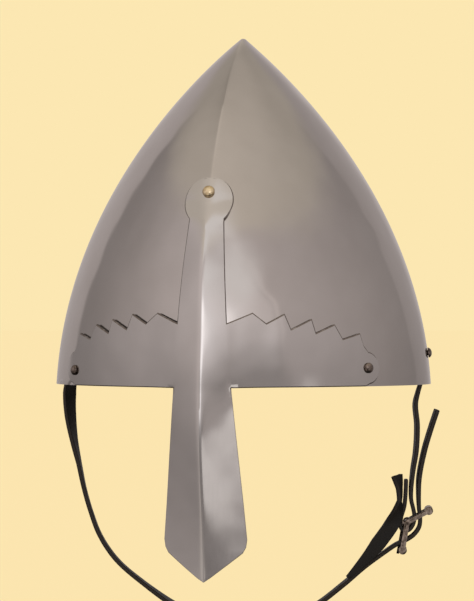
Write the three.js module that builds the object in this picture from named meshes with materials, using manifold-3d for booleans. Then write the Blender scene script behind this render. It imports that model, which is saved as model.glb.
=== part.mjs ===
// A pointed steel helmet with a nose guard and a leather chin strap, held in its worn form.
// Millimetres, +Z up. The front is -Y. Left and right are as seen from the front, so the buckle hangs
// on the right, at +X.
// The origin is the middle of the head opening, in the plane of the rim.

import * as THREE from 'three';
import { mergeVertices } from 'three/addons/utils/BufferGeometryUtils.js';
import Module from 'manifold-3d';

const wasm = await Module();
wasm.setup();

// Skull: two Bezier profiles that share their heights, one up the side and one up the keel.
const SIDE_RADII = [103, 96, 11, 0];
const KEEL_RADII = [113, 122, 35.5, 0];
const HEIGHTS = [0, 111, 180, 190.3];
const KEEL_OFFSET = 0.5; // each half's section is centred this share of its radius past the middle
const TIP_BLUNTED_AT = 0.955; // share of the profile where the welded point is rounded off
const STEEL = 1.6;
const TIP_RISE = 0.7; // the rounded point above the last ring
const TIP_WELD = 1.3; // the wall at the point, in thicknesses of the steel
const HALF_STEPS = 28;
const PROFILE_STEPS = 18;
const HALVINGS = 40; // finds a height's place on the profile
const DRAW_GAP = 0.4; // between the skull and the plate riveted on it

// Nasal plate, measured along the skull from the middle line and upwards from the rim.
const EAR = { radius: 12.7, height: 95.7, neckHeight: 86.5 };
const TIP_HEIGHT = -101;
const BAR_HALF_WIDTHS = [
  [TIP_HEIGHT, 0],
  [-86, 18.5],
  [-83, 20.1],
  [-79, 20.7],
  [0, 14.1],
  [45, 11.6],
  [64, 10.4],
  [EAR.neckHeight, 8.8],
];
const FOLD_RAISES = [
  [TIP_HEIGHT, 0],
  [-75, 2.2],
  [-54, 4.9],
  [-24, 7.4],
  [0, 5.7],
  [24, 3.4],
  [63, 3],
  [79, 1.9],
  [94, 0],
];
const EAR_ROUNDINGS = [
  [80, 0],
  [100, 4],
];
const KEEL_SLOPE = 0.29; // how fast the skull falls away beside its ridge
const NOSE_LEAN = 0.058; // how far the nose guard leans back, for its length
const BAR_COLUMNS = 8;
const NOSE_ROWS = { lowest: -66, spacing: 13 };
const UPPER_ROWS = { lowest: 42, spacing: 9 };
const EAR_ROWS = 9;
const ARM_ROWS = 4;
const ARM_COLUMN_WIDTH = 6;
const ARM_END_TURN = { first: 80, step: 20 }; // degrees, where the upper edge meets the round end
// The arm's upper edge: saw teeth that rise slowly outwards and drop fast.
const ARM_TOP = [
  [12.3, 33],
  [24.5, 38.5],
  [31.5, 33],
  [41, 38],
  [44.5, 30],
  [56, 35.3],
  [58.3, 28],
  [69.6, 32.5],
  [74.6, 24.8],
  [86.3, 27.8],
  [88.6, 21.3],
];
const ARM_END = { along: 90.8, height: 9.6, radius: 8.4 };

// Rivets: head and shank radius, head height, inner head radius and height.
const CROWN_RIVET = { head: 3.3, shank: 1.5, dome: 2.4, tail: 2.7, tailHeight: 1 };
const PLAIN_RIVET = { head: 2.8, shank: 1.4, dome: 2, tail: 2.5, tailHeight: 1 };
const CROWN_RIVET_HEIGHT = 100.9;
const EAR_LIFT = 0.8; // the ear's flat above the ridge, at its rivet
const ARM_RIVETS = {
  left: { along: 89, height: 8.1 },
  right: { along: 90.8, height: 9.6 },
};
const STRAP_RIVET = { depth: 8, height: 17 };
const CLEARANCE = 0.3;
const TAIL_GAP = 0.7; // below the stack, whose flat facets stand a little inside the true curve
const TAIL_FLAT = 0.7; // share of the tail's radius that is flat
const DOME_TURN = { first: 20, step: 17.5 }; // degrees round the dome
const RIVET_SIDES = 20;
const HOLE_LENGTH = 30;

// Chin straps: points of the middle of the leather, each with its twist in degrees.
const STRAP_WIDTH = 9.5;
const STRAP_THICKNESS = 2.2;
const STRAP_TURN = THREE.MathUtils.degToRad(9); // how far the buckle side hangs turned
const TURNED_FROM = 60; // the turn fades out from this x to the middle
const STRAP_END_ABOVE_RIVET = 7;
const STRAP_LEAVES_WALL = 11; // height above the rim
const WALL_TWISTS = { left: 5, right: 0 };
const STRAP_WALL_GAP = 0.9; // a flat strap on a hollow wall
const LONG_STRAP = [
  [-98.3, 5, 4, 16],
  [-98.9, 2, -6, 28],
  [-98.2, 1, -18, 19],
  [-96.1, 1, -32, 3],
  [-93.2, 1, -45, -7],
  [-90.3, 1, -58.5, -10],
  [-86.3, 1, -72, -10],
  [-81.1, 1.2, -85, -9],
  [-71.7, 1.6, -98.3, -7],
  [-56, 2.4, -111.4, -4],
  [-38, 3, -123.4, -1],
  [-18, 3, -132.5, 0],
  [3, 2.5, -136, 0],
  [22, 2, -131.5, 0],
  [40, 1.5, -121.5, 0],
  [55.6, 2.1, -109.4, 0],
  [66.8, 3.9, -99.8, 0],
  [76.2, 5.3, -93, 0],
  [83.6, 6.5, -87.9, 0],
  [88.8, 7.3, -85.4, 0],
  [93.2, 8, -82.4, 0],
  [96.1, 8.5, -78.2, 0],
  [96.7, 8.6, -73.4, 0],
  [96.1, 8.5, -68.5, 0],
  [95.8, 8.4, -61, 0],
  [96.1, 8.5, -51, 0],
  [98.8, 8.9, -36.8, 0],
  [102.1, 9.4, -25.3, 0],
  [105.8, 10, -14, 0],
];
const SHORT_STRAP = [
  [98, 8.5, 4, 0],
  [95.6, 8.4, -4.5, 0],
  [94.2, 8.2, -11, 0],
  [95.1, 8.3, -22.6, 0],
  [94.5, 8.2, -36.8, 0],
  [92.9, 8, -47.2, 0],
  [91.9, 7.8, -57.5, 0],
  [92, 7.8, -63.6, 0],
  [93, 8, -68, 0],
  [93.7, 8.1, -72, 0],
  [93.2, 8, -76.2, 0],
  [90.7, 7.6, -79.8, 0],
  [87.6, 7.1, -80.1, 0],
  [85.9, 6.9, -77.3, 0],
  [86.4, 7, -73, 0],
  [88.1, 7.2, -67, 0],
  [88.8, 7.3, -60.5, 0],
  [89.1, 7.4, -52.1, 0],
];
const KEEPER = [
  [85.6, -3, -49.5, 22],
  [87, -3.2, -56.5, 8],
  [87.2, -3.6, -63.6, 6],
  [86, -4.4, -70.2, 40],
  [82.6, -5, -77, 78],
  [77.1, -5.2, -84.8, 84],
  [71.1, -5, -92.4, 84],
  [64.4, -4.8, -99.8, 84],
  [58.6, -4.6, -105.4, 84],
];
const KEEPER_TIP = { knots: 2, width: 2.4 };

// Buckle, in the plane that its bars stand square to: the middle bar is its origin.
const BUCKLE_PLACE = new THREE.Vector3(89.7, 7.5, -75.4);
const ROLLER_BAR = new THREE.Vector2(11.8, 6.3);
const LOWER_BAR = new THREE.Vector2(-2.5, -15.3);
const BAR_RADIUS = 1.25;
const ARM_HEIGHT = 2.7;
const ARM_PLATE = 1.5;
const EYE_RADIUS = 2.3;
const INSIDE_WIDTH = 10.8;
const ROLLER = { inner: 1.55, outer: 2.2 };
const TONGUE = { width: 2.2, inner: 1.55, outer: 2.45, thickness: 1.4, overhang: 2.6 };
const TONGUE_MARGIN = 0.6;
const BAR_SIDES = 16;
const ROLLER_SIDES = 18;

const RIDGE_ANGLE = Math.acos(KEEL_OFFSET / (1 + KEEL_OFFSET));
const SMALL_STEP = 1e-4;
const SIDE_PROFILE = bezier(SIDE_RADII);
const KEEL_PROFILE = bezier(KEEL_RADII);

function bezier(radii) {
  const points = radii.map((radius, i) => new THREE.Vector2(radius, HEIGHTS[i]));
  return new THREE.CubicBezierCurve(...points);
}

/** The value at a place between knots of [place, value], straight between them. */
function between(knots, place) {
  if (place <= knots[0][0]) {
    return knots[0][1];
  }
  for (let i = 1; i < knots.length; i++) {
    const [start, from] = knots[i - 1];
    const [end, to] = knots[i];
    if (place <= end) {
      return THREE.MathUtils.mapLinear(place, start, end, from, to);
    }
  }
  return knots[knots.length - 1][1];
}

/** A point of the skull's outer skin: side is 1 or -1, the angle runs from back ridge to front ridge. */
function skullPoint(side, angle, share) {
  const { x: radius, y: height } = SIDE_PROFILE.getPoint(share);
  const keel = KEEL_PROFILE.getPoint(share).x;
  const x = radius * ((1 + KEEL_OFFSET) * Math.cos(angle) - KEEL_OFFSET);
  const y = (-keel * Math.sin(angle)) / Math.sin(RIDGE_ANGLE);
  return new THREE.Vector3(side * x, y, height);
}

/** The outward direction there, which on a ridge is the one shared by both halves. */
function skullNormal(side, angle, share) {
  const around = skullPoint(side, angle + SMALL_STEP, share).sub(skullPoint(side, angle - SMALL_STEP, share));
  const up = skullPoint(side, angle, share + SMALL_STEP).sub(skullPoint(side, angle, share - SMALL_STEP));
  const normal = up.cross(around).multiplyScalar(side).normalize();
  if (RIDGE_ANGLE - Math.abs(angle) < SMALL_STEP) {
    const acrossRidge = 1 - normal.x ** 2;
    normal.setX(0).divideScalar(acrossRidge);
  }
  return normal;
}

function shareAtHeight(height) {
  let low = 0;
  let high = 1;
  for (let i = 0; i < HALVINGS; i++) {
    const middle = (low + high) / 2;
    if (SIDE_PROFILE.getPoint(middle).y < height) {
      low = middle;
    } else {
      high = middle;
    }
  }
  return low;
}

/** A place on the skull from a distance along it from the front ridge and a height. */
function skullPlace(along, height) {
  const share = shareAtHeight(height);
  const side = along < 0 ? -1 : 1;
  const radius = SIDE_PROFILE.getPoint(share).x * (1 + KEEL_OFFSET);
  const keel = KEEL_PROFILE.getPoint(share).x / Math.sin(RIDGE_ANGLE);
  const angle = RIDGE_ANGLE - (2 * Math.abs(along)) / (radius + keel);
  return { side, angle, share };
}

/** A closed solid between two skins of one sheet, with walls along the sheet's free edges. */
function solidFromSheet(triangles, count, outerAt, innerAt) {
  const positions = [];
  for (const skin of [outerAt, innerAt]) {
    for (let i = 0; i < count; i++) {
      positions.push(...skin(i).toArray());
    }
  }
  const used = new Set();
  for (const [a, b, c] of triangles) {
    used.add(`${a},${b}`).add(`${b},${c}`).add(`${c},${a}`);
  }
  const index = [];
  for (const [a, b, c] of triangles) {
    index.push(a, b, c, count + a, count + c, count + b);
    for (const [from, to] of [[a, b], [b, c], [c, a]]) {
      if (!used.has(`${to},${from}`)) {
        index.push(from, count + from, to, to, count + from, count + to);
      }
    }
  }
  return closedGeometry(positions, index);
}

function closedGeometry(positions, index) {
  const geometry = new THREE.BufferGeometry();
  geometry.setAttribute('position', new THREE.Float32BufferAttribute(positions, 3));
  geometry.setIndex(index);
  return geometry;
}

function toManifold(geometry, matrix = new THREE.Matrix4()) {
  const bare = geometry.clone().applyMatrix4(matrix);
  bare.deleteAttribute('normal');
  bare.deleteAttribute('uv');
  const merged = mergeVertices(bare, SMALL_STEP);
  const mesh = new wasm.Mesh({
    numProp: 3,
    vertProperties: new Float32Array(merged.attributes.position.array),
    triVerts: new Uint32Array(merged.index.array),
  });
  return new wasm.Manifold(mesh);
}

function fromManifold(solid) {
  const mesh = solid.getMesh();
  return closedGeometry(Array.from(mesh.vertProperties), Array.from(mesh.triVerts));
}

/** Cuts each tool from a geometry. */
function cut(geometry, tools) {
  let solid = toManifold(geometry);
  for (const tool of tools) {
    solid = solid.subtract(tool);
  }
  return fromManifold(solid);
}

function skullShell() {
  const around = [];
  for (const side of [1, -1]) {
    for (let i = 0; i < HALF_STEPS; i++) {
      const angle = side * THREE.MathUtils.mapLinear(i, 0, HALF_STEPS, RIDGE_ANGLE, -RIDGE_ANGLE);
      around.push({ side, angle });
    }
  }
  const ring = around.length;
  const places = [];
  for (let row = 0; row <= PROFILE_STEPS; row++) {
    const share = (row / PROFILE_STEPS) * TIP_BLUNTED_AT;
    around.forEach(({ side, angle }) => places.push({ side, angle, share }));
  }
  const triangles = [];
  for (let row = 0; row < PROFILE_STEPS; row++) {
    for (let i = 0; i < ring; i++) {
      const [a, b] = [row * ring + i, row * ring + ((i + 1) % ring)];
      triangles.push([a, b, b + ring], [a, b + ring, a + ring]);
    }
  }
  const tip = places.length;
  for (let i = 0; i < ring; i++) {
    triangles.push([tip - ring + i, tip - ring + ((i + 1) % ring), tip]);
  }
  const tipHeight = SIDE_PROFILE.getPoint(TIP_BLUNTED_AT).y;
  const skin = (depth, tipRise) => (i) => {
    if (i === tip) {
      return new THREE.Vector3(0, 0, tipHeight + tipRise);
    }
    const { side, angle, share } = places[i];
    const inwards = skullNormal(side, angle, share).multiplyScalar(-depth);
    if (share === 0) {
      inwards.setZ(0);
    }
    return skullPoint(side, angle, share).add(inwards);
  };
  return solidFromSheet(triangles, tip + 1, skin(0, TIP_RISE), skin(STEEL, TIP_RISE - STEEL * TIP_WELD));
}

function barHalfWidth(height) {
  if (height > EAR.neckHeight) {
    const rise = height - EAR.height;
    return Math.sqrt(Math.max(EAR.radius ** 2 - rise ** 2, 0));
  }
  return between(BAR_HALF_WIDTHS, height);
}

/** A point of the plate, a distance out from the skull, with the fold down its middle. */
function platePoint(along, height, out) {
  const { side, angle, share } = skullPlace(along, Math.max(height, 0));
  const point = skullPoint(side, angle, share);
  const normal = skullNormal(side, angle, share);
  const ridge = skullNormal(1, RIDGE_ANGLE, share).normalize();
  if (height <= 0) {
    const length = normal.length();
    normal.setZ(0).setLength(length);
    ridge.setZ(0).normalize();
    point.y += NOSE_LEAN * -height;
    point.z = height;
  }
  const foldWidth = between(BAR_HALF_WIDTHS.slice(1), height);
  const fold = between(FOLD_RAISES, height) * Math.max(1 - Math.abs(along) / foldWidth, 0);
  const rounding = between(EAR_ROUNDINGS, height);
  const flattened = KEEL_SLOPE * (Math.abs(along) - Math.hypot(along, rounding) + rounding);
  return point.addScaledVector(normal, out).addScaledVector(ridge, fold + flattened);
}

/** Rows of the bar from the tip to the top of the ear, with the arm's rows among them. */
function barHeights() {
  const heights = BAR_HALF_WIDTHS.map(([height]) => height).filter((height) => height < 0);
  for (let height = NOSE_ROWS.lowest; height < 0; height += NOSE_ROWS.spacing) {
    heights.push(height);
  }
  for (let row = 0; row <= ARM_ROWS; row++) {
    heights.push((ARM_TOP[0][1] * row) / ARM_ROWS);
  }
  for (let height = UPPER_ROWS.lowest; height < EAR.neckHeight; height += UPPER_ROWS.spacing) {
    heights.push(height);
  }
  heights.push(EAR.neckHeight);
  const lowest = Math.asin((EAR.neckHeight - EAR.height) / EAR.radius);
  for (let i = 1; i <= EAR_ROWS; i++) {
    const turn = THREE.MathUtils.mapLinear(i, 0, EAR_ROWS, lowest, Math.PI / 2);
    heights.push(EAR.height + EAR.radius * Math.sin(turn));
  }
  return heights.sort((a, b) => a - b);
}

/** Columns of an arm, from the bar outwards: how far along, and the lower and upper edge. */
function armColumns() {
  const columns = [];
  for (let i = 0; i < ARM_TOP.length; i++) {
    const [along, top] = ARM_TOP[i];
    if (i > 0) {
      const [before, topBefore] = ARM_TOP[i - 1];
      const pieces = Math.ceil((along - before) / ARM_COLUMN_WIDTH);
      for (let k = 1; k < pieces; k++) {
        const share = k / pieces;
        const middle = THREE.MathUtils.lerp(before, along, share);
        columns.push([middle, 0, THREE.MathUtils.lerp(topBefore, top, share)]);
      }
    }
    columns.push([along, 0, top]);
  }
  for (let turn = ARM_END_TURN.first; turn >= 0; turn -= ARM_END_TURN.step) {
    const angle = THREE.MathUtils.degToRad(turn);
    const rise = ARM_END.radius * Math.sin(angle);
    const along = ARM_END.along + ARM_END.radius * Math.cos(angle);
    columns.push([along, Math.max(ARM_END.height - rise, 0), ARM_END.height + rise]);
  }
  return columns;
}

/** Joins rows of flat points into triangles, with equal points shared and flat triangles left out. */
function sheetFromGrids(grids) {
  const points = [];
  const keys = new Map();
  const indexOf = ([along, height]) => {
    const key = `${along.toFixed(4)},${height.toFixed(4)}`;
    if (!keys.has(key)) {
      keys.set(key, points.length);
      points.push([along, height]);
    }
    return keys.get(key);
  };
  const triangles = [];
  for (const grid of grids) {
    for (let i = 1; i < grid.length; i++) {
      for (let k = 1; k < grid[i].length; k++) {
        const corners = [grid[i - 1][k - 1], grid[i - 1][k], grid[i][k], grid[i][k - 1]].map(indexOf);
        const [a, b, c, d] = corners;
        for (const triangle of [[a, b, c], [a, c, d]]) {
          if (new Set(triangle).size === 3) {
            triangles.push(triangle);
          }
        }
      }
    }
  }
  return { points, triangles };
}

function nasalPlate() {
  const bar = barHeights().map((height) => {
    const half = barHalfWidth(height);
    const row = [];
    for (let i = 0; i <= BAR_COLUMNS; i++) {
      row.push([half * ((2 * i) / BAR_COLUMNS - 1), height]);
    }
    return row;
  });
  const grids = [bar];
  for (const side of [1, -1]) {
    const arm = [];
    for (let row = 0; row <= ARM_ROWS; row++) {
      const share = row / ARM_ROWS;
      const line = armColumns().map(([along, low, top], i) => {
        const height = THREE.MathUtils.lerp(low, top, share);
        return [side * (i === 0 ? barHalfWidth(height) : along), height];
      });
      arm.push(side > 0 ? line : line.reverse());
    }
    grids.push(arm);
  }
  const { points, triangles } = sheetFromGrids(grids);
  const skin = (out) => (i) => platePoint(...points[i], out);
  return solidFromSheet(triangles, points.length, skin(DRAW_GAP + STEEL), skin(DRAW_GAP));
}

/** A rivet with its shank along +Y: the head sits on y = 0 and the stack below it is `grip` thick. */
function rivetGeometry(sizes, grip) {
  const low = -grip - TAIL_GAP;
  const profile = [
    new THREE.Vector2(0, low - sizes.tailHeight),
    new THREE.Vector2(sizes.tail * TAIL_FLAT, low - sizes.tailHeight),
    new THREE.Vector2(sizes.tail, low - sizes.tailHeight / 2),
    new THREE.Vector2(sizes.tail, low),
    new THREE.Vector2(sizes.shank, low),
    new THREE.Vector2(sizes.shank, CLEARANCE),
    new THREE.Vector2(sizes.head, CLEARANCE),
  ];
  for (let turn = DOME_TURN.first; turn < 90; turn += DOME_TURN.step) {
    const angle = THREE.MathUtils.degToRad(turn);
    const height = CLEARANCE + sizes.dome * Math.sin(angle);
    profile.push(new THREE.Vector2(sizes.head * Math.cos(angle), height));
  }
  profile.push(new THREE.Vector2(0, CLEARANCE + sizes.dome));
  return new THREE.LatheGeometry(profile, RIVET_SIDES);
}

/** The matrix that stands a rivet on a place of the skull, a distance out from it. */
function rivetMatrix(point, normal) {
  const outwards = normal.clone().normalize();
  const turn = new THREE.Quaternion().setFromUnitVectors(new THREE.Vector3(0, 1, 0), outwards);
  return new THREE.Matrix4().compose(point, turn, new THREE.Vector3(1, 1, 1));
}

function rivetHole(sizes, matrix) {
  const radius = sizes.shank + CLEARANCE;
  return toManifold(new THREE.CylinderGeometry(radius, radius, HOLE_LENGTH, RIVET_SIDES), matrix);
}

/** The place of a strap rivet on the skull. */
function strapPlace(side) {
  const share = shareAtHeight(STRAP_RIVET.height);
  const keel = KEEL_PROFILE.getPoint(share).x;
  const angle = -Math.asin((STRAP_RIVET.depth * Math.sin(RIDGE_ANGLE)) / keel);
  return { side, angle, share };
}

/** The middle of a strap that lies against the inside of the skull, near its rivet. */
function againstWall(side, height) {
  const { angle } = strapPlace(side);
  const share = shareAtHeight(height);
  const depth = STEEL + STRAP_WALL_GAP + STRAP_THICKNESS / 2;
  return skullPoint(side, angle, share).addScaledVector(skullNormal(side, angle, share), -depth);
}

/** A flat strap of leather along points of [x, y, z, twist], with an even or a narrowing width. */
function ribbon(knots, widthAt = () => STRAP_WIDTH) {
  const points = knots.map(([x, y, z]) => new THREE.Vector3(x, y, z));
  const curve = new THREE.CatmullRomCurve3(points, false, 'centripetal');
  const steps = (knots.length - 1) * 3;
  const positions = [];
  for (let i = 0; i <= steps; i++) {
    const place = (i / steps) * (knots.length - 1);
    const before = Math.min(Math.floor(place), knots.length - 2);
    const twist = THREE.MathUtils.lerp(knots[before][3], knots[before + 1][3], place - before);
    const middle = curve.getPoint(i / steps);
    const tangent = curve.getTangent(i / steps);
    const turn = STRAP_TURN * THREE.MathUtils.clamp(middle.x / TURNED_FROM, 0, 1);
    const across = new THREE.Vector3(-Math.sin(turn), Math.cos(turn), 0);
    across.addScaledVector(tangent, -across.dot(tangent)).normalize();
    across.applyAxisAngle(tangent, THREE.MathUtils.degToRad(twist));
    const face = new THREE.Vector3().crossVectors(tangent, across);
    for (const [u, v] of [[-1, -1], [1, -1], [1, 1], [-1, 1]]) {
      const corner = middle.clone().addScaledVector(across, (u * widthAt(place)) / 2);
      corner.addScaledVector(face, (v * STRAP_THICKNESS) / 2);
      positions.push(...corner.toArray());
    }
  }
  const index = [0, 2, 1, 0, 3, 2];
  for (let i = 0; i < steps; i++) {
    for (let k = 0; k < 4; k++) {
      const [a, b] = [i * 4 + k, i * 4 + ((k + 1) % 4)];
      index.push(a, b, b + 4, a, b + 4, a + 4);
    }
  }
  const last = steps * 4;
  index.push(last, last + 1, last + 2, last, last + 2, last + 3);
  return closedGeometry(positions, index);
}

/** The knots of a strap from its end above the rivet, flat on the wall, into its free run. */
function strapKnots(side, run, wallTwist) {
  const heights = [STRAP_RIVET.height + STRAP_END_ABOVE_RIVET, STRAP_RIVET.height, STRAP_LEAVES_WALL];
  const wall = heights.map((height) => [...againstWall(side, height).toArray(), wallTwist]);
  return [...wall, ...run];
}

/** A round bar across the buckle, centred on a point of its plane. */
function crossBar(place, radius, length, sides = BAR_SIDES) {
  const bar = new THREE.CylinderGeometry(radius, radius, length, sides);
  return toManifold(bar, new THREE.Matrix4().makeTranslation(place.x, 0, place.y));
}

/** A flat bar in the buckle's plane from one point to another. */
function armBar(from, to, offset) {
  const length = from.distanceTo(to);
  const box = new THREE.BoxGeometry(length, ARM_PLATE, ARM_HEIGHT);
  const slope = Math.atan2(to.y - from.y, to.x - from.x);
  const matrix = new THREE.Matrix4().makeRotationY(-slope);
  matrix.setPosition((from.x + to.x) / 2, offset, (from.y + to.y) / 2);
  return toManifold(box, matrix);
}

function buckleFrame() {
  const middle = new THREE.Vector2(0, 0);
  const outside = INSIDE_WIDTH / 2 + ARM_PLATE;
  let frame = crossBar(middle, BAR_RADIUS, outside * 2);
  frame = frame.add(crossBar(ROLLER_BAR, BAR_RADIUS, outside * 2));
  frame = frame.add(crossBar(LOWER_BAR, BAR_RADIUS, outside * 2));
  for (const side of [1, -1]) {
    const offset = side * (outside - ARM_PLATE / 2);
    const eye = (place, radius) => {
      const disc = new THREE.CylinderGeometry(radius, radius, ARM_PLATE, BAR_SIDES);
      return toManifold(disc, new THREE.Matrix4().makeTranslation(place.x, offset, place.y));
    };
    frame = frame.add(armBar(middle, ROLLER_BAR, offset)).add(armBar(LOWER_BAR, middle, offset));
    frame = frame.add(eye(ROLLER_BAR, EYE_RADIUS)).add(eye(LOWER_BAR, EYE_RADIUS));
    frame = frame.add(eye(middle, ARM_HEIGHT / 2));
  }
  return fromManifold(frame);
}

function buckleRoller() {
  const length = INSIDE_WIDTH - 2 * CLEARANCE;
  const tube = crossBar(ROLLER_BAR, ROLLER.outer, length, ROLLER_SIDES);
  return fromManifold(tube.subtract(crossBar(ROLLER_BAR, ROLLER.inner, length * 2, ROLLER_SIDES)));
}

/** The tongue's straight pin, from the middle bar to its end over the lower bar, grown by a margin. */
function tonguePin(margin) {
  const down = LOWER_BAR.clone().normalize();
  const out = new THREE.Vector2(-down.y, down.x);
  const start = out.clone().multiplyScalar(-(TONGUE.inner + TONGUE.outer) / 2);
  const overBar = -(BAR_RADIUS + CLEARANCE + TONGUE.thickness / 2);
  const end = LOWER_BAR.clone().addScaledVector(down, TONGUE.overhang).addScaledVector(out, overBar);
  const [width, thickness] = [TONGUE.width + 2 * margin, TONGUE.thickness + 2 * margin];
  const pin = new THREE.BoxGeometry(start.distanceTo(end), width, thickness);
  const matrix = new THREE.Matrix4().makeRotationY(-Math.atan2(end.y - start.y, end.x - start.x));
  matrix.setPosition((start.x + end.x) / 2, 0, (start.y + end.y) / 2);
  return toManifold(pin, matrix);
}

/** The tongue: a ring round the middle bar and its pin. */
function buckleTongue() {
  const middle = new THREE.Vector2(0, 0);
  const solid = crossBar(middle, TONGUE.outer, TONGUE.width).add(tonguePin(0));
  return fromManifold(solid.subtract(crossBar(middle, TONGUE.inner, TONGUE.width * 2)));
}

/** The space that the tongue needs in the leather it passes through. */
function tongueSlot(buckle) {
  buckle.updateMatrixWorld(true);
  return tonguePin(TONGUE_MARGIN).transform(buckle.matrixWorld.elements);
}

function steel(roughness = 0.28) {
  return new THREE.MeshStandardMaterial({ color: 0x9a9490, metalness: 1, roughness });
}

function darkSteel() {
  return new THREE.MeshStandardMaterial({ color: 0x4a423c, metalness: 1, roughness: 0.45 });
}

function brass() {
  return new THREE.MeshStandardMaterial({ color: 0xc9a25e, metalness: 1, roughness: 0.3 });
}

function leather() {
  return new THREE.MeshStandardMaterial({ color: 0x14110f, metalness: 0, roughness: 0.6 });
}

function oldNickel() {
  return new THREE.MeshStandardMaterial({ color: 0x82746a, metalness: 1, roughness: 0.4 });
}

function addMesh(parent, name, geometry, material) {
  const mesh = new THREE.Mesh(geometry, material);
  mesh.name = name;
  parent.add(mesh);
  return mesh;
}

/** Each rivet with its name, sizes, place and the thickness that it holds together. */
function rivetList() {
  const plateOut = DRAW_GAP + STEEL;
  const list = [{
    name: 'rivet_crown',
    sizes: CROWN_RIVET,
    point: platePoint(0, CROWN_RIVET_HEIGHT, plateOut),
    normal: skullNormal(1, RIDGE_ANGLE, shareAtHeight(CROWN_RIVET_HEIGHT)),
    grip: plateOut + STEEL + EAR_LIFT,
    finish: brass,
  }];
  for (const [side, label] of [[-1, 'left'], [1, 'right']]) {
    const { along, height } = ARM_RIVETS[label];
    const place = skullPlace(side * along, height);
    list.push({
      name: `rivet_arm_${label}`,
      sizes: PLAIN_RIVET,
      point: platePoint(side * along, height, plateOut),
      normal: skullNormal(place.side, place.angle, place.share),
      grip: plateOut + STEEL,
      finish: darkSteel,
    });
    const strap = strapPlace(side);
    list.push({
      name: `rivet_strap_${label}`,
      sizes: PLAIN_RIVET,
      point: skullPoint(strap.side, strap.angle, strap.share),
      normal: skullNormal(strap.side, strap.angle, strap.share),
      grip: STEEL + STRAP_WALL_GAP + STRAP_THICKNESS,
      finish: darkSteel,
    });
  }
  return list;
}

function build() {
  const helmet = new THREE.Group();
  const buckle = new THREE.Group();
  buckle.position.copy(BUCKLE_PLACE);
  buckle.rotation.z = STRAP_TURN;
  helmet.add(buckle);

  const rivets = rivetList().map((rivet) => ({ ...rivet, matrix: rivetMatrix(rivet.point, rivet.normal) }));
  const holes = Object.fromEntries(rivets.map(({ name, sizes, matrix }) => [name, rivetHole(sizes, matrix)]));
  const slot = tongueSlot(buckle);

  addMesh(helmet, 'skull', cut(skullShell(), Object.values(holes)), steel());
  const plateHoles = [holes.rivet_crown, holes.rivet_arm_left, holes.rivet_arm_right];
  addMesh(helmet, 'nasal_plate', cut(nasalPlate(), plateHoles), steel(0.22));
  for (const { name, sizes, grip, matrix, finish } of rivets) {
    const mesh = addMesh(helmet, name, rivetGeometry(sizes, grip), finish());
    mesh.applyMatrix4(matrix);
  }

  const longStrap = ribbon(strapKnots(-1, LONG_STRAP, WALL_TWISTS.left));
  addMesh(helmet, 'chin_strap_long', cut(longStrap, [holes.rivet_strap_left, slot]), leather());
  const shortStrap = ribbon(strapKnots(1, SHORT_STRAP, WALL_TWISTS.right));
  addMesh(helmet, 'chin_strap_short', cut(shortStrap, [holes.rivet_strap_right, slot]), leather());
  const last = KEEPER.length - 1;
  const widths = [[last - KEEPER_TIP.knots, STRAP_WIDTH], [last, KEEPER_TIP.width]];
  addMesh(helmet, 'strap_keeper', ribbon(KEEPER, (place) => between(widths, place)), leather());

  addMesh(buckle, 'buckle_frame', buckleFrame(), oldNickel());
  addMesh(buckle, 'buckle_roller', buckleRoller(), oldNickel());
  addMesh(buckle, 'buckle_tongue', buckleTongue(), oldNickel());
  return helmet;
}

export default build();
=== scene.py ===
"""A pointed steel helmet with a nose guard and a buckled leather chin strap, dressed for the camera.

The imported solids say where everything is. Each sub-assembly below makes its finer pieces within a few
millimetres of them, in metres, and rides them on the helmet's one body. The front is -Y and the buckle
is at +X. The skull's mesh has a known fault on its inside, which is told where it is made.
"""

import logging
import math
from dataclasses import dataclass, field
from enum import Enum
from typing import Callable, Iterable, Sequence

import bmesh
import bpy
from mathutils import Matrix, Quaternion, Vector


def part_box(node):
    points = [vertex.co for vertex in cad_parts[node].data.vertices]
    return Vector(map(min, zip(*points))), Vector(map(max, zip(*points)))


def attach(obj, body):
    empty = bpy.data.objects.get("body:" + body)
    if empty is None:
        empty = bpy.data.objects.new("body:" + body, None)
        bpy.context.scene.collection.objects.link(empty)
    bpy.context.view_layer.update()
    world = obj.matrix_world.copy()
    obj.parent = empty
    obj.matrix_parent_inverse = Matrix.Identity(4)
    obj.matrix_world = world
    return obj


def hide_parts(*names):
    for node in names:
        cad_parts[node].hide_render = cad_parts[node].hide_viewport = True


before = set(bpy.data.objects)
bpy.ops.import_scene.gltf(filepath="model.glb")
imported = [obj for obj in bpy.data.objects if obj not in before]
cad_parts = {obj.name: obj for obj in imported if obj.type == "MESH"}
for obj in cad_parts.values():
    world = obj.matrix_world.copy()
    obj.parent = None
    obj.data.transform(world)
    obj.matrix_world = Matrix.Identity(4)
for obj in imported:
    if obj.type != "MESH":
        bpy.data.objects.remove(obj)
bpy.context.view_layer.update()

LOG = logging.getLogger("helmet")
MM = 0.001
BODY = "root"
SMALL = 1e-4
HALVINGS = 40
ROD_SIDES = 32
FLAT_ANGLE = math.radians(2)

Knots = Sequence[tuple[float, float]]


class Slot(str, Enum):
    """The record's material slots."""

    SKULL = "skull_steel"
    PLATE = "plate_steel"
    BRASS = "brass"
    DARK = "dark_steel"
    LEATHER = "leather"
    NICKEL = "old_nickel"


class Side(Enum):
    """Left and right as seen from the front, with the sign of X there."""

    LEFT = -1
    RIGHT = 1


# ---------------------------------------------------------------- small helpers


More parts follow.
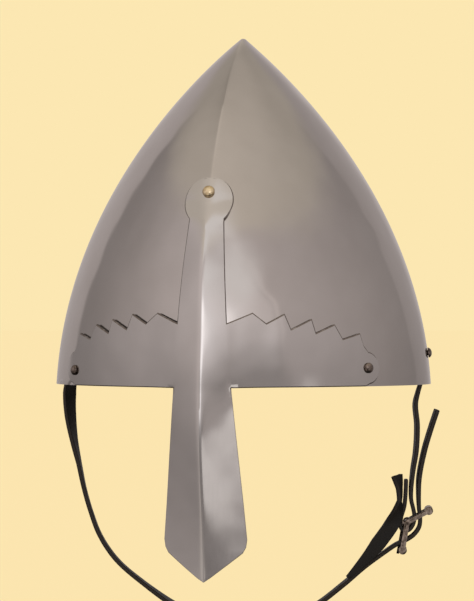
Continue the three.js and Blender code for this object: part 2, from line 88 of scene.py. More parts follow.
def between(knots: Knots, place: float) -> float:
    """The value at a place between knots of (place, value), straight between them.

    Args:
        knots: pairs of a place and its value, in rising order.
        place: where the value is wanted.

    Returns:
        The value there, or the nearest end's value outside the knots.
    """
    if place <= knots[0][0]:
        return knots[0][1]
    for (start, before), (end, after) in zip(knots, knots[1:]):
        if place <= end:
            return before + (after - before) * (place - start) / (end - start)
    return knots[-1][1]


def flowing(knots: Knots, place: float) -> float:
    """As between, but in one smooth line through the knots.

    Args:
        knots: pairs of a place and its value, in rising order.
        place: where the value is wanted.

    Returns:
        The value there, or the nearest end's value outside the knots.
    """
    if place <= knots[0][0] or place >= knots[-1][0]:
        return between(knots, place)
    slopes = [(b[1] - a[1]) / (b[0] - a[0]) for a, b in zip(knots, knots[1:])]
    inner = [(p + n) / 2 if p * n > 0 else 0.0 for p, n in zip(slopes, slopes[1:])]
    turns = [slopes[0], *inner, slopes[-1]]
    index = next(i for i, knot in enumerate(knots[1:]) if place <= knot[0])
    (start, before), (end, after) = knots[index], knots[index + 1]
    span = end - start
    t = (place - start) / span
    rise = 3 * (after - before) - span * (2 * turns[index] + turns[index + 1])
    bend = 2 * (before - after) + span * (turns[index] + turns[index + 1])
    return before + span * turns[index] * t + rise * t**2 + bend * t**3


def linear(colour: str) -> tuple[float, float, float, float]:
    """Turns an sRGB hex colour into the linear colour that a socket takes.

    Args:
        colour: six hex digits after a #.

    Returns:
        Red, green, blue and alpha, linear.
    """
    channels = [int(colour[i : i + 2], 16) / 255 for i in (1, 3, 5)]
    bright = [c / 12.92 if c <= 0.04045 else ((c + 0.055) / 1.055) ** 2.4 for c in channels]
    return (*bright, 1.0)


def feed(tree: bpy.types.NodeTree, node: bpy.types.Node, inputs: dict) -> None:
    """Feeds a node's inputs.

    Args:
        tree: the tree that the node is in.
        node: the node.
        inputs: a value or another node's output for each input, by name or number.
    """
    for name, value in inputs.items():
        if isinstance(value, bpy.types.NodeSocket):
            tree.links.new(value, node.inputs[name])
        else:
            node.inputs[name].default_value = value


def add_node(tree: bpy.types.NodeTree, kind: str, inputs: dict | None = None, **settings) -> bpy.types.Node:
    """Adds a node with its settings and what feeds its inputs.

    Args:
        tree: the tree that the node goes in.
        kind: the node's type name.
        inputs: a value or another node's output for each input, by name or number.
        **settings: the node's own properties.

    Returns:
        The new node.
    """
    node = tree.nodes.new(kind)
    for name, value in settings.items():
        setattr(node, name, value)
    feed(tree, node, inputs or {})
    return node


def blend(tree: bpy.types.NodeTree, share, first, second, **settings) -> bpy.types.NodeSocket:
    """Lays a second colour over a first.

    Args:
        tree: the tree.
        share: how much of the second shows, as a value or an output.
        first: the colour or output below.
        second: the colour or output above.
        **settings: the Mix node's own properties.

    Returns:
        The blended colour.
    """
    inputs = {0: share, 6: first, 7: second}
    return add_node(tree, "ShaderNodeMix", inputs, data_type="RGBA", **settings).outputs[2]


def rescale(tree: bpy.types.NodeTree, value: bpy.types.NodeSocket, low: float, high: float,
            at_low: float = 0.0, at_high: float = 1.0, curve: str = "LINEAR") -> bpy.types.NodeSocket:
    """Carries a value over from one span to another, held at its ends.

    Args:
        tree: the tree.
        value: the value.
        low: where the first span starts.
        high: where it ends.
        at_low: the result at the start.
        at_high: the result at the end.
        curve: how the result goes from one to the other.

    Returns:
        The result.
    """
    return add_node(tree, "ShaderNodeMapRange", {
        "Value": value, "From Min": low, "From Max": high, "To Min": at_low, "To Max": at_high},
        interpolation_type=curve).outputs["Result"]


def work_out(tree: bpy.types.NodeTree, operation: str, *values) -> bpy.types.NodeSocket:
    """One step of arithmetic on values or outputs."""
    return add_node(tree, "ShaderNodeMath", dict(enumerate(values)), operation=operation).outputs[0]


def mottle(tree: bpy.types.NodeTree, place: bpy.types.NodeSocket, size: float, detail: float,
           roughness: float = 0.5) -> bpy.types.NodeSocket:
    """Soft blotches, as a value about one half.

    Args:
        tree: the tree.
        place: the coordinates that the blotches lie in.
        size: how large a blotch is.
        detail: how many finer layers lie in the blotches.
        roughness: how strong the finer layers are.

    Returns:
        The value.
    """
    return add_node(tree, "ShaderNodeTexNoise", {
        "Vector": place, "Scale": 1 / size, "Detail": detail, "Roughness": roughness}).outputs["Fac"]


def bump(tree: bpy.types.NodeTree, height: bpy.types.NodeSocket, distance: float,
         strength: float = 1.0) -> bpy.types.Node:
    """A relief from a height, as a node, so that another relief can go under it."""
    return add_node(tree, "ShaderNodeBump", {"Height": height, "Strength": strength, "Distance": distance})


def set_ramp(node: bpy.types.Node, stops: Sequence[tuple[float, tuple]]) -> None:
    """Gives a colour ramp its stops, with straight lines between them.

    Args:
        node: the Color Ramp node.
        stops: pairs of a place from 0 to 1 and a linear colour.
    """
    ramp = node.color_ramp
    ramp.interpolation = "LINEAR"
    while len(ramp.elements) < len(stops):
        ramp.elements.new(1.0)
    for element, (place, colour) in zip(ramp.elements, stops):
        element.position = place
        element.color = colour


def finish_mesh(bm: bmesh.types.BMesh, name: str, smooth: bool = True) -> bpy.types.Object:
    """Turns a bmesh into an object at the origin.

    Args:
        bm: the mesh in the row frame, in metres. It is freed.
        name: the piece's name.
        smooth: whether its faces shade smoothly.

    Returns:
        The object, linked to the scene.
    """
    mesh = bpy.data.meshes.new(name)
    bm.to_mesh(mesh)
    bm.free()
    if smooth:
        mesh.polygons.foreach_set("use_smooth", [True] * len(mesh.polygons))
    piece = bpy.data.objects.new(name, mesh)
    bpy.context.scene.collection.objects.link(piece)
    return piece


def place_piece(piece: bpy.types.Object, slot: Slot, material: bpy.types.Material, node: str) -> None:
    """Rides a finished piece on the helmet, in its finish and in its CAD node's stead.

    Args:
        piece: the finished piece.
        slot: the record's slot for its finish. It is not used.
        material: its Blender material.
        node: the CAD node that it stands for.
    """
    piece.data.materials.append(material)
    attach(piece, BODY)
    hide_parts(node)
    low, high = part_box(node)
    LOG.info("%s: %d faces, node %s spans %s mm", piece.name, len(piece.data.polygons), node,
             [round((b - a) / MM, 1) for a, b in zip(low, high)])


def round_edges(piece: bpy.types.Object, width: float, segments: int = 3, angle: float = 50.0) -> None:
    """Rounds a piece's sharp edges.

    Args:
        piece: the piece.
        width: the bevel's width.
        segments: how many facets round the edge.
        angle: the least angle between faces, in degrees, that counts as an edge.
    """
    bevel = piece.modifiers.new("edges", "BEVEL")
    bevel.width = width
    bevel.segments = segments
    bevel.profile = 0.5
    bevel.limit_method = "ANGLE"
    bevel.angle_limit = math.radians(angle)
    bevel.use_clamp_overlap = True


def mapped_grid(columns: int, rows: int, place: Callable[[float, float], Vector]) -> bmesh.types.BMesh:
    """A grid whose vertices are moved onto a surface.

    Args:
        columns: faces across, along the first share.
        rows: faces up, along the second share.
        place: gives the point for two shares from 0 to 1.

    Returns:
        The grid as a bmesh.
    """
    bm = bmesh.new()
    bmesh.ops.create_grid(bm, x_segments=columns, y_segments=rows, size=0.5)
    for vertex in bm.verts:
        vertex.co = place(vertex.co.x + 0.5, vertex.co.y + 0.5)
    return bm


def join_meshes(parts: Iterable[bmesh.types.BMesh]) -> bmesh.types.BMesh:
    """Puts several bmeshes in one, freeing them.

    Args:
        parts: the bmeshes.

    Returns:
        One bmesh that holds them all.
    """
    joined = bmesh.new()
    for part in parts:
        mesh = bpy.data.meshes.new("part")
        part.to_mesh(mesh)
        part.free()
        joined.from_mesh(mesh)
        bpy.data.meshes.remove(mesh)
    return joined


# ---------------------------------------------------------------- the shared surface


@dataclass(frozen=True)
class SkullForm:
    """The steel skull's outer surface, which the plate and the rivets sit on.

    Two profiles share their heights, one up the side and one up the keel, and each half's section is
    an arc centred past the middle, so the halves meet in a ridge at the front and the back.
    """

    side_radii: tuple = (103 * MM, 96 * MM, 11 * MM, 0.0)
    keel_radii: tuple = (113 * MM, 122 * MM, 35.5 * MM, 0.0)
    heights: tuple = (0.0, 111 * MM, 180 * MM, 190.3 * MM)
    keel_offset: float = 0.5
    steel: float = 1.6 * MM
    tip_share: float = 0.972
    ridge_round: float = 0.7 * MM

    @property
    def ridge_angle(self) -> float:
        """The angle round a half at which it meets the other."""
        return math.acos(self.keel_offset / (1 + self.keel_offset))

    @staticmethod
    def bezier(knots: Sequence[float], share: float) -> float:
        """One coordinate of a cubic curve, a share of the way along it."""
        rest = 1 - share
        weights = (rest**3, 3 * rest**2 * share, 3 * rest * share**2, share**3)
        return sum(w * k for w, k in zip(weights, knots))

    def point(self, side: int, angle: float, share: float) -> Vector:
        """A point of the outer skin.

        Args:
            side: 1 or -1, the sign of X.
            angle: round the half, from minus the ridge angle at the back to the ridge angle in front.
            share: up the profile, 0 at the rim and 1 at the point.

        Returns:
            The point.
        """
        radius = self.bezier(self.side_radii, share)
        keel = self.bezier(self.keel_radii, share)
        across = radius * ((1 + self.keel_offset) * math.cos(angle) - self.keel_offset)
        along = -keel * math.sin(angle) / math.sin(self.ridge_angle)
        return Vector((side * across, along, self.bezier(self.heights, share)))

    def normal(self, side: int, angle: float, share: float) -> Vector:
        """The outward direction at such a point, which on a ridge is shared by both halves."""
        around = self.point(side, angle + SMALL, share) - self.point(side, angle - SMALL, share)
        up = self.point(side, angle, share + SMALL) - self.point(side, angle, share - SMALL)
        normal = up.cross(around) * side
        normal.normalize()
        if self.ridge_angle - abs(angle) < SMALL:
            shared = 1 - normal.x**2
            normal.x = 0
            normal /= shared
        return normal

    def share_at(self, height: float) -> float:
        """The share of the profile at a height, found by halving."""
        low, high = 0.0, 1.0
        for _ in range(HALVINGS):
            middle = (low + high) / 2
            if self.bezier(self.heights, middle) < height:
                low = middle
            else:
                high = middle
        return low

    def place(self, along: float, height: float) -> tuple[int, float, float]:
        """A place from its distance along the skull from the front ridge and its height.

        Args:
            along: the distance, which is below 0 on the left.
            height: the height above the rim.

        Returns:
            The side, angle and share of the place.
        """
        share = self.share_at(height)
        wide = self.bezier(self.side_radii, share) * (1 + self.keel_offset)
        keel = self.bezier(self.keel_radii, share) / math.sin(self.ridge_angle)
        return (-1 if along < 0 else 1), self.ridge_angle - 2 * abs(along) / (wide + keel), share

    def ridge_slope(self, share: float) -> float:
        """How fast the skin falls away beside the front ridge."""
        wide = self.bezier(self.side_radii, share) * (1 + self.keel_offset)
        keel = self.bezier(self.keel_radii, share) / math.tan(self.ridge_angle)
        return keel / (wide * math.sin(self.ridge_angle)) if wide > SMALL else 0.0


FORM = SkullForm()


# ---------------------------------------------------------------- finishes


def surface(name: str) -> tuple[bpy.types.Material, bpy.types.NodeTree, bpy.types.Node, bpy.types.NodeSocket]:
    """Starts a material that reads the piece's own place.

    Args:
        name: the material's name.

    Returns:
        The material, its tree, its shader and the Object coordinate output.
    """
    material = bpy.data.materials.new(name)
    material.use_nodes = True
    tree = material.node_tree
    tree.nodes.clear()
    shader = add_node(tree, "ShaderNodeBsdfPrincipled")
    add_node(tree, "ShaderNodeOutputMaterial", {"Surface": shader.outputs["BSDF"]})
    place = add_node(tree, "ShaderNodeTexCoord").outputs["Object"]
    return material, tree, shader, place


@dataclass(frozen=True)
class PolishedSteel:
    """Mild steel sheet, raised, ground and buffed until it mirrors the room softly.

    The eye sees a faint waviness left by the planishing hammer, buffing lines that run up the metal,
    and hazy patches where the wax and fingers have dulled the polish. Low on the nose guard, where it is
    handled most, the polish is more of a satin.
    """

    name: str
    light: str = "#c9c4c0"
    dull: str = "#b9b3ae"
    roughness: float = 0.07
    haze_patch: float = 34 * MM
    haze_span: tuple = (0.35, 0.7)
    haze_spread: tuple = (0.8, 1.3)
    hammer_mark: float = 26 * MM
    hammer_depth: float = 0.6 * MM
    buff_line: float = 1.1 * MM
    buff_stretch: float = 0.06
    buff_dulls: float = 0.05
    buff_depth: float = 0.004 * MM
    handled_below: float = -10 * MM
    handled_fade: float = 30 * MM
    satin: float = 1.6

    def build(self) -> bpy.types.Material:
        """Makes the material."""
        material, tree, shader, place = surface(self.name)
        haze = mottle(tree, place, self.haze_patch, 5.0, 0.55)
        lined = add_node(tree, "ShaderNodeMapping", {"Vector": place, "Scale": (1.0, 1.0, self.buff_stretch)})
        lines = mottle(tree, lined.outputs["Vector"], self.buff_line, 3.0)
        least, most = (self.roughness * share for share in self.haze_spread)
        dulled = rescale(tree, haze, *self.haze_span, least, most)
        scored = work_out(tree, "MULTIPLY_ADD", lines, self.buff_dulls, dulled)
        height = add_node(tree, "ShaderNodeSeparateXYZ", {0: place}).outputs["Z"]
        handled = rescale(tree, height, self.handled_below, self.handled_below - self.handled_fade,
                          1.0, self.satin, "SMOOTHSTEP")
        waves = bump(tree, mottle(tree, place, self.hammer_mark, 1.0), self.hammer_depth)
        fine = bump(tree, lines, self.buff_depth, 0.5)
        feed(tree, fine, {"Normal": waves.outputs["Normal"]})
        feed(tree, shader, {
            "Base Color": blend(tree, haze, linear(self.light), linear(self.dull)), "Metallic": 1.0,
            "Roughness": work_out(tree, "MULTIPLY", scored, handled), "Normal": fine.outputs["Normal"]})
        return material


@dataclass(frozen=True)
class SawnEdge:
    """The plate's sawn and filed edge, in bright steel with painted shade on it.

    The colour paints shade: a thin dark line, in patches, where the plate lies on the skull. Below the rim
    no shade is painted and the edge stays bright steel.
    """

    name: str
    leather_wax_and_painted_shade: str
    bright: str = "#b8b2ae"
    unshaded_below: float = -1 * MM
    patch: float = 3 * MM
    patch_span: tuple = (0.3, 0.5)
    least_painted_shade: float = 0.55
    bright_roughness: float = 0.14
    leather_wax_and_painted_shade_roughness: float = 0.42

    def build(self) -> bpy.types.Material:
        """Makes the material."""
        material, tree, shader, place = surface(self.name)
        height = add_node(tree, "ShaderNodeSeparateXYZ", {0: place}).outputs["Z"]
        # Painted shade: dark patches above the rim only, mixed over the bright steel.
        above = work_out(tree, "GREATER_THAN", height, self.unshaded_below)
        amount = rescale(tree, mottle(tree, place, self.patch, 3.0), *self.patch_span, self.least_painted_shade)
        share = work_out(tree, "MULTIPLY", above, amount)
        feed(tree, shader, {
            "Base Color": blend(tree, share, linear(self.bright), linear(self.leather_wax_and_painted_shade)), "Metallic": 1.0,
            "Roughness": rescale(tree, share, 0.0, 1.0, self.bright_roughness, self.leather_wax_and_painted_shade_roughness)})
        return material


@dataclass(frozen=True)
class TurnedMetal:
    """A cast, turned or drawn metal with a hand finish: the rivets and the buckle.

    The eye sees one metal colour that goes darker in blotches, where the finish has aged.
    """

    name: str
    bright: str
    aged: str
    roughness: float
    blotch: float = 2.2 * MM
    aged_span: tuple = (0.4, 0.66)
    rough_span: tuple = (0.3, 0.7)
    rough_spread: tuple = (0.8, 1.35)
    pitting: float = 0.05 * MM

    def build(self) -> bpy.types.Material:
        """Makes the material."""
        material, tree, shader, place = surface(self.name)
        blotches = mottle(tree, place, self.blotch, 4.0, 0.6)
        share = rescale(tree, blotches, *self.aged_span)
        least, most = (self.roughness * share_of for share_of in self.rough_spread)
        feed(tree, shader, {
            "Base Color": blend(tree, share, linear(self.bright), linear(self.aged)), "Metallic": 1.0,
            "Roughness": rescale(tree, blotches, *self.rough_span, least, most),
            "Normal": bump(tree, blotches, self.pitting, 0.25).outputs["Normal"]})
        return material


@dataclass(frozen=True)
class BlackLeather:
    """Vegetable-tanned cowhide strap, dyed black, waxed, with burnished edges.

    The eye sees a close pebbled grain that breaks up the shine, and a smoother, browner cut edge. The
    piece's "edge" attribute is 1 on the cut edge and 0 on the faces.
    """

    name: str = "black_strap_leather"
    face: str = "#0b0a0a"
    worn: str = "#141211"
    cut: str = "#1f1915"
    grain: float = 0.55 * MM
    grain_depth: float = 0.12 * MM
    crease: float = 5 * MM
    crease_weight: float = 1.4
    worn_span: tuple = (0.45, 0.7)
    waxed_span: tuple = (0.3, 0.7)
    leather_wax_and_painted_shade_roughness: tuple = (0.46, 0.62)
    burnished_roughness: float = 0.38

    def build(self) -> bpy.types.Material:
        """Makes the material."""
        material, tree, shader, place = surface(self.name)
        edge = add_node(tree, "ShaderNodeAttribute", attribute_name="edge").outputs["Fac"]
        pebbles = add_node(tree, "ShaderNodeTexVoronoi", {
            "Vector": place, "Scale": 1 / self.grain, "Randomness": 0.9}, feature="SMOOTH_F1")
        creases = mottle(tree, place, self.crease, 5.0, 0.6)
        rubbed = rescale(tree, creases, *self.worn_span)
        face = blend(tree, rubbed, linear(self.face), linear(self.worn))
        leather_wax_and_painted_shade = rescale(tree, creases, *self.waxed_span, *self.leather_wax_and_painted_shade_roughness)
        rough = add_node(tree, "ShaderNodeMix", {0: edge, 2: leather_wax_and_painted_shade, 3: self.burnished_roughness},
                         data_type="FLOAT")
        relief = work_out(tree, "MULTIPLY_ADD", creases, self.crease_weight, pebbles.outputs["Distance"])
        feed(tree, shader, {
            "Base Color": blend(tree, edge, face, linear(self.cut)), "Roughness": rough.outputs[0],
            "Normal": bump(tree, relief, self.grain_depth, 0.6).outputs["Normal"], "IOR": 1.4})
        return material


# ---------------------------------------------------------------- the skull


@dataclass
class Skull:
    """The raised steel skull: two halves that meet in a ridge.

    Its outside is sound. Its inside has a known fault: see skin and build.
    """

    form: SkullForm = FORM
    columns: int = 84
    rows: int = 104
    inner_tip_share: float = 0.93
    slender: float = 20.0
    weld: float = 0.01 * MM
    rim_round: float = 0.45 * MM
    finish: PolishedSteel = field(default_factory=lambda: PolishedSteel("buffed_skull_steel"))

    def half_point(self, around: float, up: float, depth: float) -> Vector:
        """A point of the right half, with its ridge eased by filing.

        Args:
            around: share of the way from the back ridge to the front ridge.
            up: share of the way from the rim to the point.
            depth: 0 for the outer skin, or the steel's thickness for the inner.

        Returns:
            The point.
        """
        form = self.form
        top = self.inner_tip_share if depth else form.tip_share
        closed = up > 1 - SMALL
        share = top if closed else up * self.rows / (self.rows - 1) * top
        if closed:
            return Vector((0, 0, form.bezier(form.heights, top) - depth / 2))
        angle = form.ridge_angle * math.sin(math.pi / 2 * (2 * around - 1))
        point = form.point(1, angle, share)
        soft = min(form.ridge_round, form.bezier(form.side_radii, share) / self.slender)
        eased = form.ridge_slope(share) * (math.hypot(point.x, soft) - abs(point.x))
        point.y += math.copysign(eased, angle)
        point -= form.normal(1, angle, share) * depth
        point.x = max(point.x, 0)
        return point

    def skin(self, depth: float) -> bmesh.types.BMesh:
        """One skin, mirrored across the ridge.

        The outer skin is whole, open only at the rim, with its faces pointing out. The inner skin isn't:
        half_point holds its points at x = 0 or more, and it has doubled and open edges on that plane.

        Args:
            depth: how far under the outer skin it lies.

        Returns:
            The skin.
        """
        bm = mapped_grid(self.columns, self.rows, lambda around, up: self.half_point(around, up, depth))
        bmesh.ops.mirror(bm, geom=bm.verts[:] + bm.edges[:] + bm.faces[:], merge_dist=SMALL * MM, axis="X")
        bmesh.ops.remove_doubles(bm, verts=bm.verts[:], dist=self.weld)
        bmesh.ops.recalc_face_normals(bm, faces=bm.faces[:])
        lowest = min(bm.faces, key=lambda face: face.calc_center_median().z)
        if lowest.normal.dot(lowest.calc_center_median()) < 0:
            bmesh.ops.reverse_faces(bm, faces=bm.faces[:])
        return bm

    def build(self) -> None:
        """Makes the skull.

        The bridge takes every open edge, the inner skin's as well as the rim's. The finished mesh has open
        edges at the rim and stray faces inside, so it isn't a closed shell.
        """
        outer, inner = self.skin(0.0), self.skin(self.form.steel)
        bmesh.ops.reverse_faces(inner, faces=inner.faces[:])
        bm = join_meshes([outer, inner])
        bmesh.ops.bridge_loops(bm, edges=[edge for edge in bm.edges if edge.is_boundary])
        piece = finish_mesh(bm, "skull_shell")
        round_edges(piece, self.rim_round)
        place_piece(piece, Slot.SKULL, self.finish.build(), "skull")


# ---------------------------------------------------------------- the nasal plate


@dataclass
class NasalPlate:
    """The brow and nose plate: one sheet with a folded ridge, riveted on the skull."""

    form: SkullForm = FORM
    gap: float = 0.4 * MM
    tip_height: float = -101 * MM
    ear_radius: float = 12.7 * MM
    ear_height: float = 95.7 * MM
    neck_height: float = 86.5 * MM
    lean: float = 0.058
    upright_below: float = 40 * MM
    keel_slope: float = 0.29
    fold_round: float = 0.42 * MM
    half_widths: tuple = tuple((h * MM, w * MM) for h, w in (
        (-101, 0), (-86, 18.5), (-83, 20.1), (-79, 20.7), (0, 14.1), (45, 11.6), (64, 10.4), (86.5, 8.8)))
    folds: tuple = tuple((h * MM, f * MM) for h, f in (
        (-101, 0), (-75, 2.2), (-54, 4.9), (-24, 7.4), (0, 5.7), (24, 3.4), (63, 3), (79, 1.9), (94, 0)))
    ear_roundings: tuple = ((80 * MM, 0.0), (100 * MM, 4 * MM))
    lifts: tuple = ((-60 * MM, 0.0), (12 * MM, 0.15), (84 * MM, 0.15), (96 * MM, 0.0))
    lift_fade: float = 22 * MM
    arm_top: tuple = tuple((a * MM, h * MM) for a, h in (
        (12.3, 33), (24.5, 38.5), (31.5, 33), (41, 38), (44.5, 30), (56, 35.3), (58.3, 28), (69.6, 32.5),
        (74.6, 24.8), (86.3, 27.8), (88.6, 21.3)))
    arm_end: float = 90.8 * MM
    arm_end_height: float = 9.6 * MM
    arm_end_radius: float = 8.4 * MM
    arm_end_turns: range = range(84, -1, -6)
    bar_columns: int = 28
    bar_crowding: float = 1.5
    ear_easing: float = 0.35
    ear_rows: int = 26
    arm_rows: int = 16
    column_width: float = 2 * MM
    row_height: float = 2.4 * MM
    chamfers: tuple = ((-97 * MM, 0.1 * MM), (-88 * MM, 0.35 * MM), (-2 * MM, 0.35 * MM), (1 * MM, 0.62 * MM))
    chamfer_slope: float = 0.6
    chamfer_inset: float = 0.01 * MM
    mitre_limits: tuple = (0.6, 1.5)
    weld: float = 0.02 * MM
    sliver: float = 0.01 * MM
    sharp_angle: float = math.radians(24)
    finish: PolishedSteel = field(default_factory=lambda: PolishedSteel(
        "buffed_plate_steel", light="#cdc9c6", dull="#bfbab6", roughness=0.09))
    # The wall's and the chamfer's materials paint a dark line of shade round the plate above the rim.
    edge: SawnEdge = SawnEdge("sawn_plate_edge_painted_shade", leather_wax_and_painted_shade="#3b332f")
    chamfer: SawnEdge = SawnEdge("filed_plate_chamfer_painted_shade", leather_wax_and_painted_shade="#7d736d")

    def half_width(self, height: float) -> float:
        """Half the bar's width at a height."""
        if height <= self.neck_height:
            return between(self.half_widths, height)
        rise = min(height - self.ear_height, self.ear_radius)
        return math.sqrt(self.ear_radius**2 - rise**2)

    def point(self, along: float, height: float, out: float) -> Vector:
        """A point of the plate.

        Args:
            along: distance along the skull from the middle line.
            height: height above the rim.
            out: distance out from the skull.

        Returns:
            The point.
        """
        form = self.form
        side, angle, share = form.place(along, max(height, 0))
        point = form.point(side, angle, share)
        normal = form.normal(side, angle, share)
        ridge = form.normal(1, form.ridge_angle, share).normalized()
        if height <= 0:
            upright = max(1 + height / self.upright_below, 0)
            length = normal.length
            normal.z *= upright
            normal.normalize()
            normal *= length
            ridge.z *= upright
            ridge.normalize()
            point.y -= self.lean * height
            point.z = height
        fold_width = between(self.half_widths[1:], height)
        fold = flowing(self.folds, height)
        raised = fold * max(1 - abs(along) / fold_width, 0)
        rounding = between(self.ear_roundings, height)
        raised += self.keel_slope * (abs(along) - math.hypot(along, rounding) + rounding)
        half = self.half_width(height)
        past = max(abs(along) - half, 0) / self.lift_fade
        raised += flowing(self.lifts, height) * min(abs(along), half) * max(1 - past, 0) ** 2
        if rounding == 0:
            slope = form.ridge_slope(share) + fold / fold_width
            raised -= slope * (math.hypot(along, self.fold_round) - abs(along))
        return point + normal * out + ridge * raised

    def heights(self) -> list[float]:
        """The bar's rows, from the tip up to the top of the ear."""
        spans = [h for h, _ in self.half_widths if h < 0] + [0.0, self.arm_top[0][1], self.neck_height]
        rows: list[float] = []
        for low, high in zip(spans, spans[1:]):
            if low == 0:
                steps = self.arm_rows
            else:
                steps = max(1, math.ceil((high - low) / self.row_height))
            rows += [low + (high - low) * i / steps for i in range(steps)]
        lowest = math.asin((self.neck_height - self.ear_height) / self.ear_radius)
        for i in range(self.ear_rows + 1):
            turn = lowest + (math.pi / 2 - lowest) * i / self.ear_rows
            rows.append(self.ear_height + self.ear_radius * math.sin(turn))
        return rows

    def columns(self) -> list[tuple[float, float, float]]:
        """An arm's columns outwards: how far along, and the height of its lower and upper edge."""
        columns = [(self.arm_top[0][0], 0.0, self.arm_top[0][1])]
        for (before, low), (after, high) in zip(self.arm_top, self.arm_top[1:]):
            steps = max(1, math.ceil((after - before) / self.column_width))
            for i in range(1, steps + 1):
                columns.append((before + (after - before) * i / steps, 0.0, low + (high - low) * i / steps))
        for turn in self.arm_end_turns:
            rise = self.arm_end_radius * math.sin(math.radians(turn))
            along = self.arm_end + self.arm_end_radius * math.cos(math.radians(turn))
            if along > columns[-1][0] + SMALL * MM:
                columns.append((along, max(self.arm_end_height - rise, 0.0), self.arm_end_height + rise))
        return columns

    def bar(self, out: float) -> bmesh.types.BMesh:
        """The bar with the nose guard and the ear, as one skin."""
        rows = self.heights()

        def place(across: float, up: float) -> Vector:
            height = rows[round(up * (len(rows) - 1))]
            straight = 2 * across - 1
            eased = math.sin(math.pi * (across - 0.5)) * self.ear_easing + straight * (1 - self.ear_easing)
            crowded = math.copysign(abs(straight) ** self.bar_crowding, straight)
            share = crowded if height < self.neck_height else eased
            return self.point(self.half_width(height) * share, height, out)

        return mapped_grid(self.bar_columns, len(rows) - 1, place)

    def arm(self, side: Side, out: float) -> bmesh.types.BMesh:
        """One brow arm, as a skin whose inner edge is the bar's."""
        columns = self.columns()

        def place(outwards: float, up: float) -> Vector:
            index = round(outwards * (len(columns) - 1))
            along, low, top = columns[index]
            height = low + (top - low) * up
            along = self.half_width(height) if index == 0 else along
            return self.point(side.value * along, height, out)

        bm = mapped_grid(len(columns) - 1, self.arm_rows, place)
        if side is Side.LEFT:
            bmesh.ops.reverse_faces(bm, faces=bm.faces[:])
        return bm

    def skin(self, out: float) -> bmesh.types.BMesh:
        """The bar and both arms as one skin whose faces point out.

        Args:
            out: how far it lies from the skull.

        Returns:
            The skin, open all round its outline.
        """
        bm = join_meshes([self.bar(out), self.arm(Side.LEFT, out), self.arm(Side.RIGHT, out)])
        bmesh.ops.remove_doubles(bm, verts=bm.verts[:], dist=self.weld)
        bmesh.ops.dissolve_degenerate(bm, edges=bm.edges[:], dist=self.sliver)
        bmesh.ops.recalc_face_normals(bm, faces=bm.faces[:])
        if sum(face.normal.y * face.calc_area() for face in bm.faces) > 0:
            bmesh.ops.reverse_faces(bm, faces=bm.faces[:])
        bm.normal_update()
        return bm

    def file_edge(self, bm: bmesh.types.BMesh) -> None:
        """Files a narrow chamfer round the outer skin's outline, as faces of the third material, which paints
        a line of shade.

        Args:
            bm: the outer skin, open all round its outline.
        """
        inward: dict[bmesh.types.BMVert, Vector] = {}
        for edge in bm.edges:
            if edge.is_boundary:
                face = edge.link_faces[0]
                along = (edge.verts[1].co - edge.verts[0].co).normalized()
                side = face.normal.cross(along)
                if side.dot(face.calc_center_median() - edge.verts[0].co) < 0:
                    side.negate()
                for vertex in edge.verts:
                    inward[vertex] = inward.get(vertex, Vector()) + side
        facing = {vertex: vertex.normal.copy() for vertex in inward}
        inset = bmesh.ops.inset_region(bm, faces=bm.faces[:], thickness=self.chamfer_inset, use_boundary=True)
        ring = inset["faces"]
        least, most = self.mitre_limits
        for face in ring:
            face.material_index = 2
            face.smooth = True
        for inner in {vertex for face in ring for vertex in face.verts if vertex not in inward}:
            for edge in inner.link_edges:
                outer = edge.other_vert(inner)
                if outer in inward:
                    mitre = min(1 / max(inward[outer].length / 2, least), most)
                    width = between(self.chamfers, outer.co.z)
                    inner.co = outer.co + inward[outer].normalized() * mitre * width
        for outer, normal in facing.items():
            outer.co -= normal * between(self.chamfers, outer.co.z) * self.chamfer_slope

    def build(self) -> None:
        """Makes the plate."""
        top, under = self.skin(self.gap + self.form.steel), self.skin(self.gap)
        self.file_edge(top)
        bmesh.ops.reverse_faces(under, faces=under.faces[:])
        bm = join_meshes([top, under])
        wall = bmesh.ops.bridge_loops(bm, edges=[edge for edge in bm.edges if edge.is_boundary])
        # The wall takes the second material, which paints a dark line of shade on it above the rim.
        for face in wall["faces"]:
            face.material_index = 1
            face.smooth = True
        piece = finish_mesh(bm, "nasal_plate_sheet")
        piece.data.set_sharp_from_angle(angle=self.sharp_angle)
        place_piece(piece, Slot.PLATE, self.finish.build(), "nasal_plate")
        piece.data.materials.append(self.edge.build())
        piece.data.materials.append(self.chamfer.build())


# ---------------------------------------------------------------- the rivets


@dataclass(frozen=True)
class RivetSize:
    """A round-head rivet, closed over inside the skull."""

    head: float
    shank: float
    dome: float
    tail: float
    tail_height: float = 1 * MM
    tail_gap: float = 0.7 * MM
    tail_outline: tuple = ((0.72, 1.0), (0.93, 0.75), (1.0, 0.4))
    seat: float = 0.3 * MM
    head_edge: float = 0.97
    dome_turns: range = range(4, 90, 6)
    turns: int = 40
    weld: float = 0.002 * MM


CROWN_SIZE = RivetSize(head=3.3 * MM, shank=1.5 * MM, dome=2.4 * MM, tail=2.7 * MM)
PLAIN_SIZE = RivetSize(head=2.8 * MM, shank=1.4 * MM, dome=2 * MM, tail=2.5 * MM)


